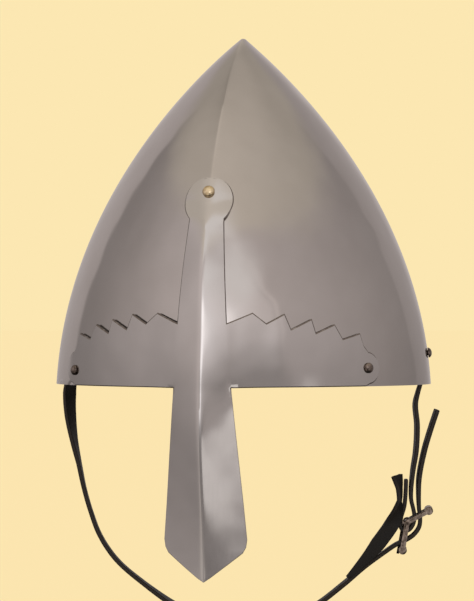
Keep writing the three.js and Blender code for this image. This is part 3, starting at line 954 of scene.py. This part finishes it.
@dataclass
class Rivets:
    """The five rivets: brass at the crown, darkened steel on the arms and the straps."""

    form: SkullForm = FORM
    plate: NasalPlate = field(default_factory=NasalPlate)
    crown_height: float = 100.9 * MM
    ear_lift: float = 0.8 * MM
    arm_places: tuple = ((Side.LEFT, 89 * MM, 8.1 * MM), (Side.RIGHT, 90.8 * MM, 9.6 * MM))
    strap_depth: float = 8 * MM
    strap_height: float = 17 * MM
    strap_stack: float = 3.1 * MM
    brass: TurnedMetal = TurnedMetal("polished_brass", "#ecd9b4", "#cbb083", 0.2)
    dark: TurnedMetal = TurnedMetal("darkened_rivet_steel", "#8f8279", "#4a403a", 0.24)

    def rivet(self, size: RivetSize, grip: float) -> bmesh.types.BMesh:
        """Spins a rivet that stands along +Z with its seat on z = 0.

        Args:
            size: the rivet's sizes.
            grip: the thickness that it holds.

        Returns:
            The closed rivet.
        """
        low = -grip - size.tail_gap
        outline = [(0, low - size.tail_height)]
        outline += [(size.tail * wide, low - size.tail_height * deep) for wide, deep in size.tail_outline]
        outline += [(size.tail, low), (size.shank, low), (size.shank, size.seat),
                    (size.head * size.head_edge, size.seat)]
        for turn in size.dome_turns:
            angle = math.radians(turn)
            outline.append((size.head * math.cos(angle), size.seat + size.dome * math.sin(angle)))
        outline.append((0, size.seat + size.dome))
        bm = bmesh.new()
        points = [bm.verts.new((x, 0, z)) for x, z in outline]
        edges = [bm.edges.new(pair) for pair in zip(points, points[1:])]
        bmesh.ops.spin(bm, geom=points + edges, cent=(0, 0, 0), axis=(0, 0, 1), angle=math.tau,
                       steps=size.turns, use_merge=True, use_duplicate=False)
        bmesh.ops.remove_doubles(bm, verts=bm.verts[:], dist=size.weld)
        bmesh.ops.recalc_face_normals(bm, faces=bm.faces[:])
        return bm

    def set_rivet(self, name: str, size: RivetSize, grip: float, seat: Vector, out: Vector,
                  slot: Slot, material: bpy.types.Material) -> None:
        """Stands a rivet on its seat.

        Args:
            name: the CAD node's name.
            size: the rivet's sizes.
            grip: the thickness that it holds.
            seat: the point under the middle of its head.
            out: the direction that its head points in.
            slot: the record's material slot.
            material: its material.
        """
        bm = self.rivet(size, grip)
        turn = Vector((0, 0, 1)).rotation_difference(out.normalized()).to_matrix().to_4x4()
        bmesh.ops.transform(bm, matrix=Matrix.Translation(seat) @ turn, verts=bm.verts[:])
        piece = finish_mesh(bm, f"{name}_turned")
        place_piece(piece, slot, material, name)

    def build(self) -> None:
        """Makes the five rivets."""
        form, plate = self.form, self.plate
        brass, dark = self.brass.build(), self.dark.build()
        stack = plate.gap + 2 * form.steel
        out = plate.gap + form.steel
        crown = form.normal(1, form.ridge_angle, form.share_at(self.crown_height))
        seat = plate.point(0, self.crown_height, out)
        self.set_rivet("rivet_crown", CROWN_SIZE, stack + self.ear_lift, seat, crown, Slot.BRASS, brass)
        for side, along, height in self.arm_places:
            place = form.place(side.value * along, height)
            seat = plate.point(side.value * along, height, out)
            name = f"rivet_arm_{side.name.lower()}"
            self.set_rivet(name, PLAIN_SIZE, stack, seat, form.normal(*place), Slot.DARK, dark)
        share = form.share_at(self.strap_height)
        keel = form.bezier(form.keel_radii, share)
        angle = -math.asin(self.strap_depth * math.sin(form.ridge_angle) / keel)
        for side in Side:
            seat = form.point(side.value, angle, share)
            out_of = form.normal(side.value, angle, share)
            name = f"rivet_strap_{side.name.lower()}"
            self.set_rivet(name, PLAIN_SIZE, form.steel + self.strap_stack, seat, out_of, Slot.DARK, dark)


# ---------------------------------------------------------------- the straps


@dataclass
class StrapRoute:
    """The middle line of a flat strap: points of (x, y, z) in mm with a twist in degrees."""

    knots: Sequence[tuple[float, float, float, float]]
    turn: float = math.radians(9)
    turned_from: float = 60 * MM
    look_round: float = 0.01
    samples: int = 20

    def __post_init__(self) -> None:
        """Turns the knots into points in metres, with one more beyond each end."""
        self.points = [Vector(k[:3]) * MM for k in self.knots]
        self.points.insert(0, self.points[0] * 2 - self.points[1])
        self.points.append(self.points[-1] * 2 - self.points[-2])

    def middle(self, place: float) -> Vector:
        """The point at a place counted in knots, on a centripetal curve through them.

        Args:
            place: the place, 0 at the first knot.

        Returns:
            The point, in metres.
        """
        index = min(int(place), len(self.knots) - 2)
        p0, p1, p2, p3 = self.points[index : index + 4]
        d1, d2, d3 = (math.sqrt((b - a).length) for a, b in ((p0, p1), (p1, p2), (p2, p3)))
        start = ((p1 - p0) / d1 - (p2 - p0) / (d1 + d2) + (p2 - p1) / d2) * d2
        end = ((p2 - p1) / d2 - (p3 - p1) / (d2 + d3) + (p3 - p2) / d3) * d2
        t = place - index
        curve = (2 * p1 - 2 * p2 + start + end) * t**3 + (-3 * p1 + 3 * p2 - 2 * start - end) * t**2
        return curve + start * t + p1

    def frame(self, place: float) -> tuple[Vector, Vector, Vector]:
        """The middle, the direction across the strap and the direction out of its face at a place."""
        last = len(self.knots) - 1
        ahead, behind = min(place + self.look_round, last), max(place - self.look_round, 0)
        tangent = (self.middle(ahead) - self.middle(behind)).normalized()
        middle = self.middle(place)
        turn = self.turn * min(max(middle.x / self.turned_from, 0), 1)
        across = Vector((-math.sin(turn), math.cos(turn), 0))
        across = (across - tangent * across.dot(tangent)).normalized()
        index = min(int(place), last - 1)
        twist = self.knots[index][3] + (self.knots[index + 1][3] - self.knots[index][3]) * (place - index)
        across = Quaternion(tangent, math.radians(twist)) @ across
        return middle, across, tangent.cross(across)

    def length(self) -> float:
        """The length of the middle line."""
        steps = self.samples * (len(self.knots) - 1)
        points = [self.middle(i / self.samples) for i in range(steps + 1)]
        return sum((b - a).length for a, b in zip(points, points[1:]))


@dataclass
class Strap:
    """One leather strap with rounded, burnished edges."""

    name: str
    node: str
    route: StrapRoute
    width: float = 9.5 * MM
    thickness: float = 2.2 * MM
    tip_width: float = 9.5 * MM
    tip_knots: float = 0.0
    steps: int = 8
    across: int = 10
    crown: float = 0.1 * MM
    edge_round: float = 0.55 * MM
    edge_angle: float = math.radians(60)
    cut_side: float = 0.4 * MM
    cut_face: float = 0.3 * MM

    def width_at(self, place: float) -> float:
        """The strap's width at a place counted in knots."""
        last = len(self.route.knots) - 1
        if self.tip_knots == 0 or place < last - self.tip_knots:
            return self.width
        share = (place - last + self.tip_knots) / self.tip_knots
        return self.width + (self.tip_width - self.width) * share

    def build(self, material: bpy.types.Material) -> None:
        """Makes the strap.

        Args:
            material: the leather.
        """
        last = len(self.route.knots) - 1
        frames: dict[float, tuple[Vector, Vector, Vector]] = {}

        def place(along: float, across: float) -> Vector:
            key = round(along * last, 5)
            if key not in frames:
                frames[key] = self.route.frame(key)
            middle, sideways, out = frames[key]
            share = 2 * across - 1
            swell = self.crown * (1 - share**2)
            sideways = sideways * (share * self.width_at(key) / 2)
            return middle + sideways + out * (self.thickness / 2 + swell - self.crown)

        bm = mapped_grid(last * self.steps, self.across, place)
        bm.normal_update()
        bm.faces.ensure_lookup_table()
        first = bm.faces[len(bm.faces) // 2]
        centre = first.calc_center_median()
        nearest = min(frames.values(), key=lambda f: (f[0] - centre).length)
        if first.normal.dot(nearest[2]) < 0:
            bmesh.ops.reverse_faces(bm, faces=bm.faces[:])
        bmesh.ops.solidify(bm, geom=bm.verts[:] + bm.edges[:] + bm.faces[:], thickness=self.thickness)
        bmesh.ops.recalc_face_normals(bm, faces=bm.faces[:])
        rims = [e for e in bm.edges if e.calc_face_angle(0) > self.edge_angle]
        bmesh.ops.bevel(bm, geom=rims, offset=self.edge_round, offset_type="OFFSET", segments=3, profile=0.5,
                        affect="EDGES", material=-1, clamp_overlap=True)
        edge = bm.verts.layers.float.new("edge")
        for vertex in bm.verts:
            middle, sideways, out = min(frames.values(), key=lambda f: (f[0] - vertex.co).length_squared)
            offset = vertex.co - middle
            near = abs(offset.dot(sideways)) > self.width / 2 - self.cut_side
            low = abs(offset.dot(out)) < self.thickness / 2 - self.cut_face
            vertex[edge] = 1.0 if near and low else 0.0
        piece = finish_mesh(bm, self.name)
        place_piece(piece, Slot.LEATHER, material, self.node)
        LOG.info("%s is %.0f mm long", self.name, self.route.length() / MM)


@dataclass
class ChinStraps:
    """The two straps and the short keeper tab."""

    form: SkullForm = FORM
    rivet_height: float = 17 * MM
    rivet_depth: float = 8 * MM
    above_rivet: float = 7 * MM
    leaves_wall: float = 11 * MM
    wall_gap: float = 0.9 * MM
    thickness: float = 2.2 * MM
    leather: BlackLeather = BlackLeather()
    long_run: tuple = (
        (-98.3, 5, 4, 16), (-98.9, 2, -6, 28), (-98.2, 1, -18, 19), (-96.1, 1, -32, 3), (-93.2, 1, -45, -7),
        (-90.3, 1, -58.5, -10), (-86.3, 1, -72, -10), (-81.1, 1.2, -85, -9), (-71.7, 1.6, -98.3, -7),
        (-56, 2.4, -111.4, -4), (-38, 3, -123.4, 3), (-18, 3, -132.5, 6), (3, 2.5, -136, 6),
        (22, 2, -131.5, 6), (40, 1.5, -121.5, 6), (55.6, 2.1, -109.4, 5), (66.8, 3.9, -99.8, 3),
        (76.2, 5.3, -93, 0), (83.6, 6.5, -87.9, 0), (88.8, 7.3, -85.4, 0), (93.2, 8, -82.4, 0),
        (96.1, 8.5, -78.2, 0), (96.7, 8.6, -73.4, 0), (96.1, 8.5, -68.5, 0), (95.8, 8.4, -61, 3),
        (96.1, 8.5, -51, 6), (98.8, 8.9, -36.8, 7), (102.1, 9.4, -25.3, 7), (105.8, 10, -14, 7))
    short_run: tuple = (
        (98, 8.5, 4, 0), (95.6, 8.4, -4.5, -3), (94.2, 8.2, -11, -6), (95.1, 8.3, -22.6, -7),
        (94.5, 8.2, -36.8, -7), (92.9, 8, -47.2, -5), (91.9, 7.8, -57.5, -2), (92, 7.8, -63.6, 0),
        (93, 8, -68, 0), (93.7, 8.1, -72, 0), (93.2, 8, -76.2, 0), (90.7, 7.6, -79.8, 0),
        (87.6, 7.1, -80.1, 0), (85.9, 6.9, -77.3, 0), (86.4, 7, -73, 0), (88.1, 7.2, -67, 0),
        (88.8, 7.3, -60.5, 0), (89.1, 7.4, -52.1, 0))
    keeper_run: tuple = (
        (85.6, -3, -49.5, 38), (87, -3.2, -56.5, 14), (87.2, -3.6, -63.6, 6), (86, -4.4, -70.2, 40),
        (82.6, -5, -77, 78), (77.1, -5.2, -84.8, 84), (71.1, -5, -92.4, 84), (64.4, -4.8, -99.8, 84),
        (58.6, -4.6, -105.4, 84))

    def on_wall(self, side: Side, twist: float) -> list[tuple[float, float, float, float]]:
        """The knots of a strap where it lies flat inside the skull, from its end past its rivet."""
        form = self.form
        keel = form.bezier(form.keel_radii, form.share_at(self.rivet_height))
        angle = -math.asin(self.rivet_depth * math.sin(form.ridge_angle) / keel)
        depth = form.steel + self.wall_gap + self.thickness / 2
        knots = []
        for height in (self.rivet_height + self.above_rivet, self.rivet_height, self.leaves_wall):
            share = form.share_at(height)
            point = form.point(side.value, angle, share) - form.normal(side.value, angle, share) * depth
            knots.append((*(point / MM), twist))
        return knots

    def build(self) -> None:
        """Makes the straps and the keeper."""
        leather = self.leather.build()
        long_knots = [*self.on_wall(Side.LEFT, 5), *self.long_run]
        short_knots = [*self.on_wall(Side.RIGHT, 0), *self.short_run]
        Strap("chin_strap_long_leather", "chin_strap_long", StrapRoute(long_knots)).build(leather)
        Strap("chin_strap_short_leather", "chin_strap_short", StrapRoute(short_knots)).build(leather)
        Strap("strap_keeper_leather", "strap_keeper", StrapRoute(self.keeper_run), width=8.2 * MM,
              tip_width=2.4 * MM, tip_knots=2.7).build(leather)


# ---------------------------------------------------------------- the buckle


@dataclass
class Buckle:
    """The cranked double-bar buckle, in its own plane: bars along Y, the middle bar at the origin."""

    place: Vector = field(default_factory=lambda: Vector((89.7, 7.5, -75.4)) * MM)
    turn: float = math.radians(9)
    roller_bar: tuple = (11.8 * MM, 6.3 * MM)
    lower_bar: tuple = (-2.5 * MM, -15.3 * MM)
    bar_radius: float = 1.25 * MM
    arm_plate: float = 1.5 * MM
    eye_radius: float = 2.3 * MM
    middle_radius: float = 1.35 * MM
    inside: float = 10.8 * MM
    roller_radii: tuple = (1.55 * MM, 2.2 * MM)
    tongue_radii: tuple = (1.55 * MM, 2.45 * MM)
    tongue_width: float = 2.2 * MM
    tongue_thickness: float = 1.4 * MM
    tongue_overhang: float = 2.6 * MM
    clearance: float = 0.3 * MM
    bar_short: float = 0.2 * MM
    frame_round: float = 0.4 * MM
    roller_round: float = 0.15 * MM
    tongue_round: float = 0.35 * MM
    edge_angle: float = 40
    finish: TurnedMetal = TurnedMetal("aged_nickel", "#9a8c80", "#62564c", 0.3, 1.6 * MM)

    def matrix(self) -> Matrix:
        """Where the buckle hangs."""
        return Matrix.Translation(self.place) @ Matrix.Rotation(self.turn, 4, "Z")

    @staticmethod
    def rod(place: Sequence[float], radius: float, length: float, offset: float = 0.0) -> bmesh.types.BMesh:
        """A round bar along Y at a point of the buckle's plane."""
        bm = bmesh.new()
        bmesh.ops.create_cone(bm, cap_ends=True, segments=ROD_SIDES, radius1=radius, radius2=radius,
                              depth=length)
        stand = Matrix.Translation((place[0], offset, place[1])) @ Matrix.Rotation(math.pi / 2, 4, "X")
        bmesh.ops.transform(bm, matrix=stand, verts=bm.verts[:])
        return bm

    def link(self, a: Sequence[float], b: Sequence[float], radius_a: float, radius_b: float,
             offset: float) -> bmesh.types.BMesh:
        """A flat arm with round ends between two points of the buckle's plane.

        Args:
            a: one end.
            b: the other end.
            radius_a: the round end's radius at a.
            radius_b: the round end's radius at b.
            offset: the arm's place along Y.

        Returns:
            The hull of its two round ends.
        """
        ends = [self.rod(a, radius_a, self.arm_plate, offset), self.rod(b, radius_b, self.arm_plate, offset)]
        bm = join_meshes(ends)
        bmesh.ops.delete(bm, geom=bm.faces[:], context="FACES_ONLY")
        hull = bmesh.ops.convex_hull(bm, input=bm.verts[:], use_existing_faces=False)
        bmesh.ops.delete(bm, geom=list({*hull["geom_interior"], *hull["geom_unused"]}), context="VERTS")
        bmesh.ops.dissolve_limit(bm, angle_limit=FLAT_ANGLE, verts=bm.verts[:], edges=bm.edges[:])
        return bm

    def united(self, name: str, parts: list[bmesh.types.BMesh], holes: Sequence[bmesh.types.BMesh] = ()
               ) -> bpy.types.Object:
        """Joins closed parts into one solid and drills holes in it.

        Args:
            name: the piece's name.
            parts: closed parts in the buckle's plane.
            holes: closed parts to take away.

        Returns:
            The piece, in place.
        """
        jobs = [("UNION", part) for part in parts[1:]] + [("DIFFERENCE", hole) for hole in holes]
        piece = finish_mesh(parts[0], name, smooth=False)
        for operation, part in jobs:
            other = finish_mesh(part, f"{name}_tool", smooth=False)
            step = piece.modifiers.new("join", "BOOLEAN")
            step.operation, step.object, step.solver = operation, other, "EXACT"
            graph = bpy.context.evaluated_depsgraph_get()
            mesh = bpy.data.meshes.new_from_object(piece.evaluated_get(graph))
            piece.modifiers.clear()
            piece.data = mesh
            bpy.data.objects.remove(other)
        piece.data.transform(self.matrix())
        piece.data.polygons.foreach_set("use_smooth", [True] * len(piece.data.polygons))
        return piece

    def build(self) -> None:
        """Makes the frame, the roller and the tongue."""
        metal = self.finish.build()
        middle = (0.0, 0.0)
        outside = self.inside / 2 + self.arm_plate
        parts = [self.rod(place, self.bar_radius, outside * 2 - self.bar_short)
                 for place in (middle, self.roller_bar, self.lower_bar)]
        for side in Side:
            offset = side.value * (outside - self.arm_plate / 2)
            parts.append(self.link(middle, self.roller_bar, self.middle_radius, self.middle_radius, offset))
            parts.append(self.link(self.lower_bar, middle, self.middle_radius, self.middle_radius, offset))
            parts.append(self.rod(self.roller_bar, self.eye_radius, self.arm_plate, offset))
            parts.append(self.rod(self.lower_bar, self.eye_radius, self.arm_plate, offset))
        piece = self.united("buckle_frame_cast", parts)
        round_edges(piece, self.frame_round, angle=self.edge_angle)
        place_piece(piece, Slot.NICKEL, metal, "buckle_frame")

        length = self.inside - 2 * self.clearance
        inner, outer = self.roller_radii
        roller = self.united("buckle_roller_tube", [self.rod(self.roller_bar, outer, length)],
                             [self.rod(self.roller_bar, inner, length * 2)])
        round_edges(roller, self.roller_round, segments=2, angle=self.edge_angle)
        place_piece(roller, Slot.NICKEL, metal, "buckle_roller")

        inner, outer = self.tongue_radii
        down = Vector(self.lower_bar).normalized()
        out = Vector((-down.y, down.x))
        start = out * -(inner + outer) / 2
        over = -(self.bar_radius + self.clearance + self.tongue_thickness / 2)
        end = Vector(self.lower_bar) + down * self.tongue_overhang + out * over
        pin = bmesh.new()
        bmesh.ops.create_cube(pin, size=1)
        size = ((end - start).length, self.tongue_width, self.tongue_thickness)
        middle_point = (start + end) / 2
        lie = Matrix.Translation((middle_point.x, 0, middle_point.y))
        lie = lie @ Matrix.Rotation(-math.atan2(end.y - start.y, end.x - start.x), 4, "Y")
        bmesh.ops.transform(pin, matrix=lie @ Matrix.Diagonal((*size, 1)), verts=pin.verts[:])
        tongue = self.united("buckle_tongue_pin", [self.rod(middle, outer, self.tongue_width), pin],
                             [self.rod(middle, inner, self.tongue_width * 2)])
        round_edges(tongue, self.tongue_round, angle=self.edge_angle)
        place_piece(tongue, Slot.NICKEL, metal, "buckle_tongue")


# ---------------------------------------------------------------- the studio


@dataclass(frozen=True)
class SoftPatch:
    """A round patch in the room that fades out at its edge, with its angles in degrees."""

    azimuth: float
    elevation: float
    fades_at: float
    full_within: float
    colour: tuple


@dataclass
class Studio:
    """A plain pale floor, soft light from all round and a broad round softbox in front.

    Each band of the room is a ring of (azimuth in degrees, brightness). Azimuth 0 is in front of the
    helmet and grows towards the buckle. The softbox is a list of (degrees off its middle, brightness).
    """

    pale: str = "#fce7b2"
    floor_height: float = -0.2
    floor_radius: float = 60.0
    floor_sides: int = 64
    floor_glow: float = 1.15
    floor_shade: float = 0.3
    wall_tint: tuple = (1.105, 1.0, 0.98, 1.0)
    ceiling_tint: tuple = (1.1, 1.0, 0.885, 1.0)
    walls: tuple = (
        (-180, 0.56), (-165, 0.58), (-150, 0.50), (-122, 0.50), (-120, 0.31), (-105, 0.35), (-90, 0.42),
        (-75, 0.51), (-60, 0.62), (-40, 0.70), (0, 0.75), (25, 0.75), (45, 0.60), (60, 0.556), (75, 0.51),
        (90, 0.47), (105, 0.435), (120, 0.39), (140.5, 0.345), (142.5, 0.40), (165, 0.43), (180, 0.56))
    cove: tuple = (
        (-180, 0.61), (-150, 0.476), (-140, 0.447), (-122, 0.46), (-105, 0.537), (-90, 0.584), (-60, 0.60),
        (-30, 0.70), (0, 0.79), (25, 0.79), (40, 0.72), (60, 0.66), (90, 0.575), (120, 0.51), (150, 0.49),
        (165, 0.46), (180, 0.61))
    ceiling: tuple = (
        (-180, 0.51), (-150, 0.43), (-130, 0.397), (-118, 0.425), (-105, 0.447), (-90, 0.51), (-75, 0.575),
        (-60, 0.627), (-30, 0.70), (0, 0.745), (40, 0.70), (75, 0.645), (105, 0.61), (135, 0.566),
        (160, 0.54), (180, 0.51))
    cove_from: tuple = (32, 45)
    ceiling_from: tuple = (50, 66)
    softbox: tuple = (
        (0.0, 2.0), (7.0, 1.7), (11.5, 1.06), (16.0, 0.98), (24.0, 0.79), (26.6, 0.73), (27.4, 0.60),
        (28.4, 0.70), (29.4, 0.76), (30.6, 0.64))
    softbox_aim: tuple = (22, 7)
    softbox_reach: float = 40.0
    softbox_edge: tuple = (31.5, 30.0)
    softbox_foot: tuple = (-9, 15, 0.62, 1.0)
    softbox_tints: tuple = ((1.02, 1.0, 1.03), (1.13, 1.0, 0.96))
    ramp_share: float = 0.5
    spill: SoftPatch = SoftPatch(18, 41, 20.0, 9.0, (0.98, 0.94, 0.92, 1.0))
    beside: SoftPatch = SoftPatch(36, 26, 14.0, 1.0, (1.02, 0.985, 0.98, 1.0))
    sheet: SoftPatch = SoftPatch(-16, -24, 32.0, 22.0, (0.64, 0.59, 0.56, 1.0))
    card: SoftPatch = SoftPatch(48, -21, 13.0, 8.5, (0.95, 0.905, 0.89, 1.0))
    strip: SoftPatch = SoftPatch(62, -11, 9.0, 5.0, (0.95, 0.905, 0.89, 1.0))
    low_falloffs: tuple = ((-26, 18, 0.56, 1.0), (-60, -14, 0.2, 1.0))
    camera_turn: float = math.radians(11)
    camera_distance: float = 1.8
    camera_height: float = 0.036
    camera_lens: float = 196.0
    camera_film: float = 36.0
    camera_shift: tuple = (-0.0108, 0.0290)

    @staticmethod
    def ring(tree: bpy.types.NodeTree, turn: bpy.types.NodeSocket, stops: Knots, tint: tuple
             ) -> bpy.types.NodeSocket:
        """One band of the room, whose brightness goes round it.

        Args:
            tree: the world's tree.
            turn: the azimuth as a share of the full turn, 0 behind the helmet.
            stops: pairs of an azimuth and a brightness.
            tint: the band's colour.

        Returns:
            The band's colour output.
        """
        band = add_node(tree, "ShaderNodeValToRGB", {"Fac": turn})
        set_ramp(band, [((degrees + 180) / 360, (value, value, value, 1.0)) for degrees, value in stops])
        return blend(tree, 1.0, band.outputs["Color"], tint, blend_type="MULTIPLY")

    @staticmethod
    def by_height(tree: bpy.types.NodeTree, height: bpy.types.NodeSocket, low: float, high: float,
                  at_low: float = 0.0, at_high: float = 1.0) -> bpy.types.NodeSocket:
        """A value that changes smoothly between two elevations in degrees."""
        ends = (math.sin(math.radians(angle)) for angle in (low, high))
        return rescale(tree, height, *ends, at_low, at_high, "SMOOTHSTEP")

    @staticmethod
    def off_aim(tree: bpy.types.NodeTree, ray: bpy.types.NodeSocket, azimuth: float, elevation: float
                ) -> bpy.types.NodeSocket:
        """The angle in degrees between a ray and the middle of a round light."""
        a, e = math.radians(azimuth), math.radians(elevation)
        aim = (math.sin(a) * math.cos(e), -math.cos(a) * math.cos(e), math.sin(e))
        towards = add_node(tree, "ShaderNodeVectorMath", {0: ray, 1: aim}, operation="DOT_PRODUCT")
        off = work_out(tree, "ARCCOSINE", towards.outputs["Value"])
        return work_out(tree, "MULTIPLY", off, math.degrees(1))

    def cover(self, tree: bpy.types.NodeTree, ray: bpy.types.NodeSocket, patch: SoftPatch
              ) -> bpy.types.NodeSocket:
        """How much of a soft patch lies in a ray's direction, from 0 to 1."""
        off = self.off_aim(tree, ray, patch.azimuth, patch.elevation)
        return rescale(tree, off, patch.fades_at, patch.full_within, curve="SMOOTHSTEP")

    def room(self, tree: bpy.types.NodeTree, axes: bpy.types.Node) -> bpy.types.NodeSocket:
        """The walls, the cove above them and the ceiling.

        Args:
            tree: the world's tree.
            axes: the node with the ray's X, Y and Z.

        Returns:
            The room's colour in the ray's direction.
        """
        front = work_out(tree, "MULTIPLY", axes.outputs["Y"], -1.0)
        azimuth = work_out(tree, "ARCTAN2", axes.outputs["X"], front)
        turn = rescale(tree, azimuth, -math.pi, math.pi)
        bands = ((self.cove, self.cove_from), (self.ceiling, self.ceiling_from))
        room = self.ring(tree, turn, self.walls, self.wall_tint)
        for stops, heights in bands:
            share = self.by_height(tree, axes.outputs["Z"], *heights)
            room = blend(tree, share, room, self.ring(tree, turn, stops, self.ceiling_tint))
        return room

    def box_light(self, tree: bpy.types.NodeTree, off: bpy.types.NodeSocket, height: bpy.types.NodeSocket
                  ) -> bpy.types.NodeSocket:
        """The softbox's own light, which goes down towards its foot.

        Its ramp holds a share of the brightness, and its tints make that whole again.

        Args:
            tree: the world's tree.
            off: the angle from the softbox's middle, in degrees.
            height: the ray's Z.

        Returns:
            The softbox's colour in the ray's direction.
        """
        share = rescale(tree, off, 0.0, self.softbox_reach)
        glow = add_node(tree, "ShaderNodeValToRGB", {"Fac": share})
        set_ramp(glow, [(degrees / self.softbox_reach, (*(value * self.ramp_share,) * 3, 1.0))
                        for degrees, value in self.softbox])
        cut = self.by_height(tree, height, *self.softbox_foot)
        tints = [(*(part / self.ramp_share for part in tint), 1.0) for tint in self.softbox_tints]
        disc = blend(tree, 1.0, glow.outputs["Color"], blend(tree, share, *tints), blend_type="MULTIPLY")
        shaded = add_node(tree, "ShaderNodeVectorMath", {0: disc, "Scale": cut}, operation="SCALE")
        return shaded.outputs["Vector"]

    def world(self) -> None:
        """Lights the room: walls, cove and ceiling, the softbox, and the cards low down."""
        world = bpy.data.worlds.new("studio")
        bpy.context.scene.world = world
        world.use_nodes = True
        tree = world.node_tree
        tree.nodes.clear()
        ray = add_node(tree, "ShaderNodeTexCoord").outputs["Generated"]
        axes = add_node(tree, "ShaderNodeSeparateXYZ", {0: ray})
        height = axes.outputs["Z"]
        off = self.off_aim(tree, ray, *self.softbox_aim)

        lit = blend(tree, self.cover(tree, ray, self.spill), self.room(tree, axes), self.spill.colour)
        lit = blend(tree, rescale(tree, off, *self.softbox_edge), lit, self.box_light(tree, off, height))
        lit = blend(tree, self.cover(tree, ray, self.beside), lit, self.beside.colour)

        sunk, deep = (self.by_height(tree, height, *falloff) for falloff in self.low_falloffs)
        dim = work_out(tree, "MULTIPLY", sunk, deep)
        dimmed = add_node(tree, "ShaderNodeVectorMath", {0: lit, "Scale": dim}, operation="SCALE")
        floored = blend(tree, self.cover(tree, ray, self.sheet), dimmed.outputs["Vector"], self.sheet.colour)
        cards = work_out(tree, "MAXIMUM", self.cover(tree, ray, self.card), self.cover(tree, ray, self.strip))
        carded = blend(tree, cards, floored, self.card.colour)

        seen = add_node(tree, "ShaderNodeLightPath").outputs["Is Camera Ray"]
        shown = blend(tree, seen, carded, linear(self.pale))
        back = add_node(tree, "ShaderNodeBackground", {"Color": shown, "Strength": 1.0})
        add_node(tree, "ShaderNodeOutputWorld", {"Surface": back.outputs[0]})

    def floor(self) -> None:
        """Lays the floor, which takes a soft shadow but stays out of the steel's reflections."""
        bm = bmesh.new()
        bmesh.ops.create_circle(bm, cap_ends=True, segments=self.floor_sides, radius=self.floor_radius)
        bmesh.ops.translate(bm, verts=bm.verts[:], vec=(0, 0, self.floor_height))
        floor = finish_mesh(bm, "floor", smooth=False)
        material = bpy.data.materials.new("pale_floor_paper")
        material.use_nodes = True
        tree = material.node_tree
        tree.nodes.clear()
        glow = add_node(tree, "ShaderNodeEmission", {"Color": linear(self.pale), "Strength": self.floor_glow})
        paper = add_node(tree, "ShaderNodeBsdfDiffuse", {"Color": linear(self.pale)})
        both = add_node(tree, "ShaderNodeMixShader", {
            0: self.floor_shade, 1: glow.outputs[0], 2: paper.outputs[0]})
        add_node(tree, "ShaderNodeOutputMaterial", {"Surface": both.outputs[0]})
        floor.data.materials.append(material)
        floor.visible_glossy = False

    def camera(self) -> None:
        """Sets the camera in front, a little to the buckle's side, level with the brow."""
        turn = self.camera_turn
        data = bpy.data.cameras.new("camera")
        data.lens = self.camera_lens
        data.sensor_width = self.camera_film
        data.shift_x, data.shift_y = self.camera_shift
        camera = bpy.data.objects.new("camera", data)
        camera.location = (self.camera_distance * math.sin(turn), -self.camera_distance * math.cos(turn),
                           self.camera_height)
        camera.rotation_euler = (math.pi / 2, 0, turn)
        bpy.context.scene.collection.objects.link(camera)
        bpy.context.scene.camera = camera

    def build(self) -> None:
        """Makes the studio."""
        bpy.context.scene.view_settings.view_transform = "Standard"
        self.world()
        self.floor()
        self.camera()


def main() -> None:
    """Builds the helmet piece by piece."""
    logging.basicConfig(level=logging.INFO, format="%(message)s")
    Studio().build()
    Skull().build()
    NasalPlate().build()
    Rivets().build()
    ChinStraps().build()
    Buckle().build()


if __name__ == "__main__":
    main()
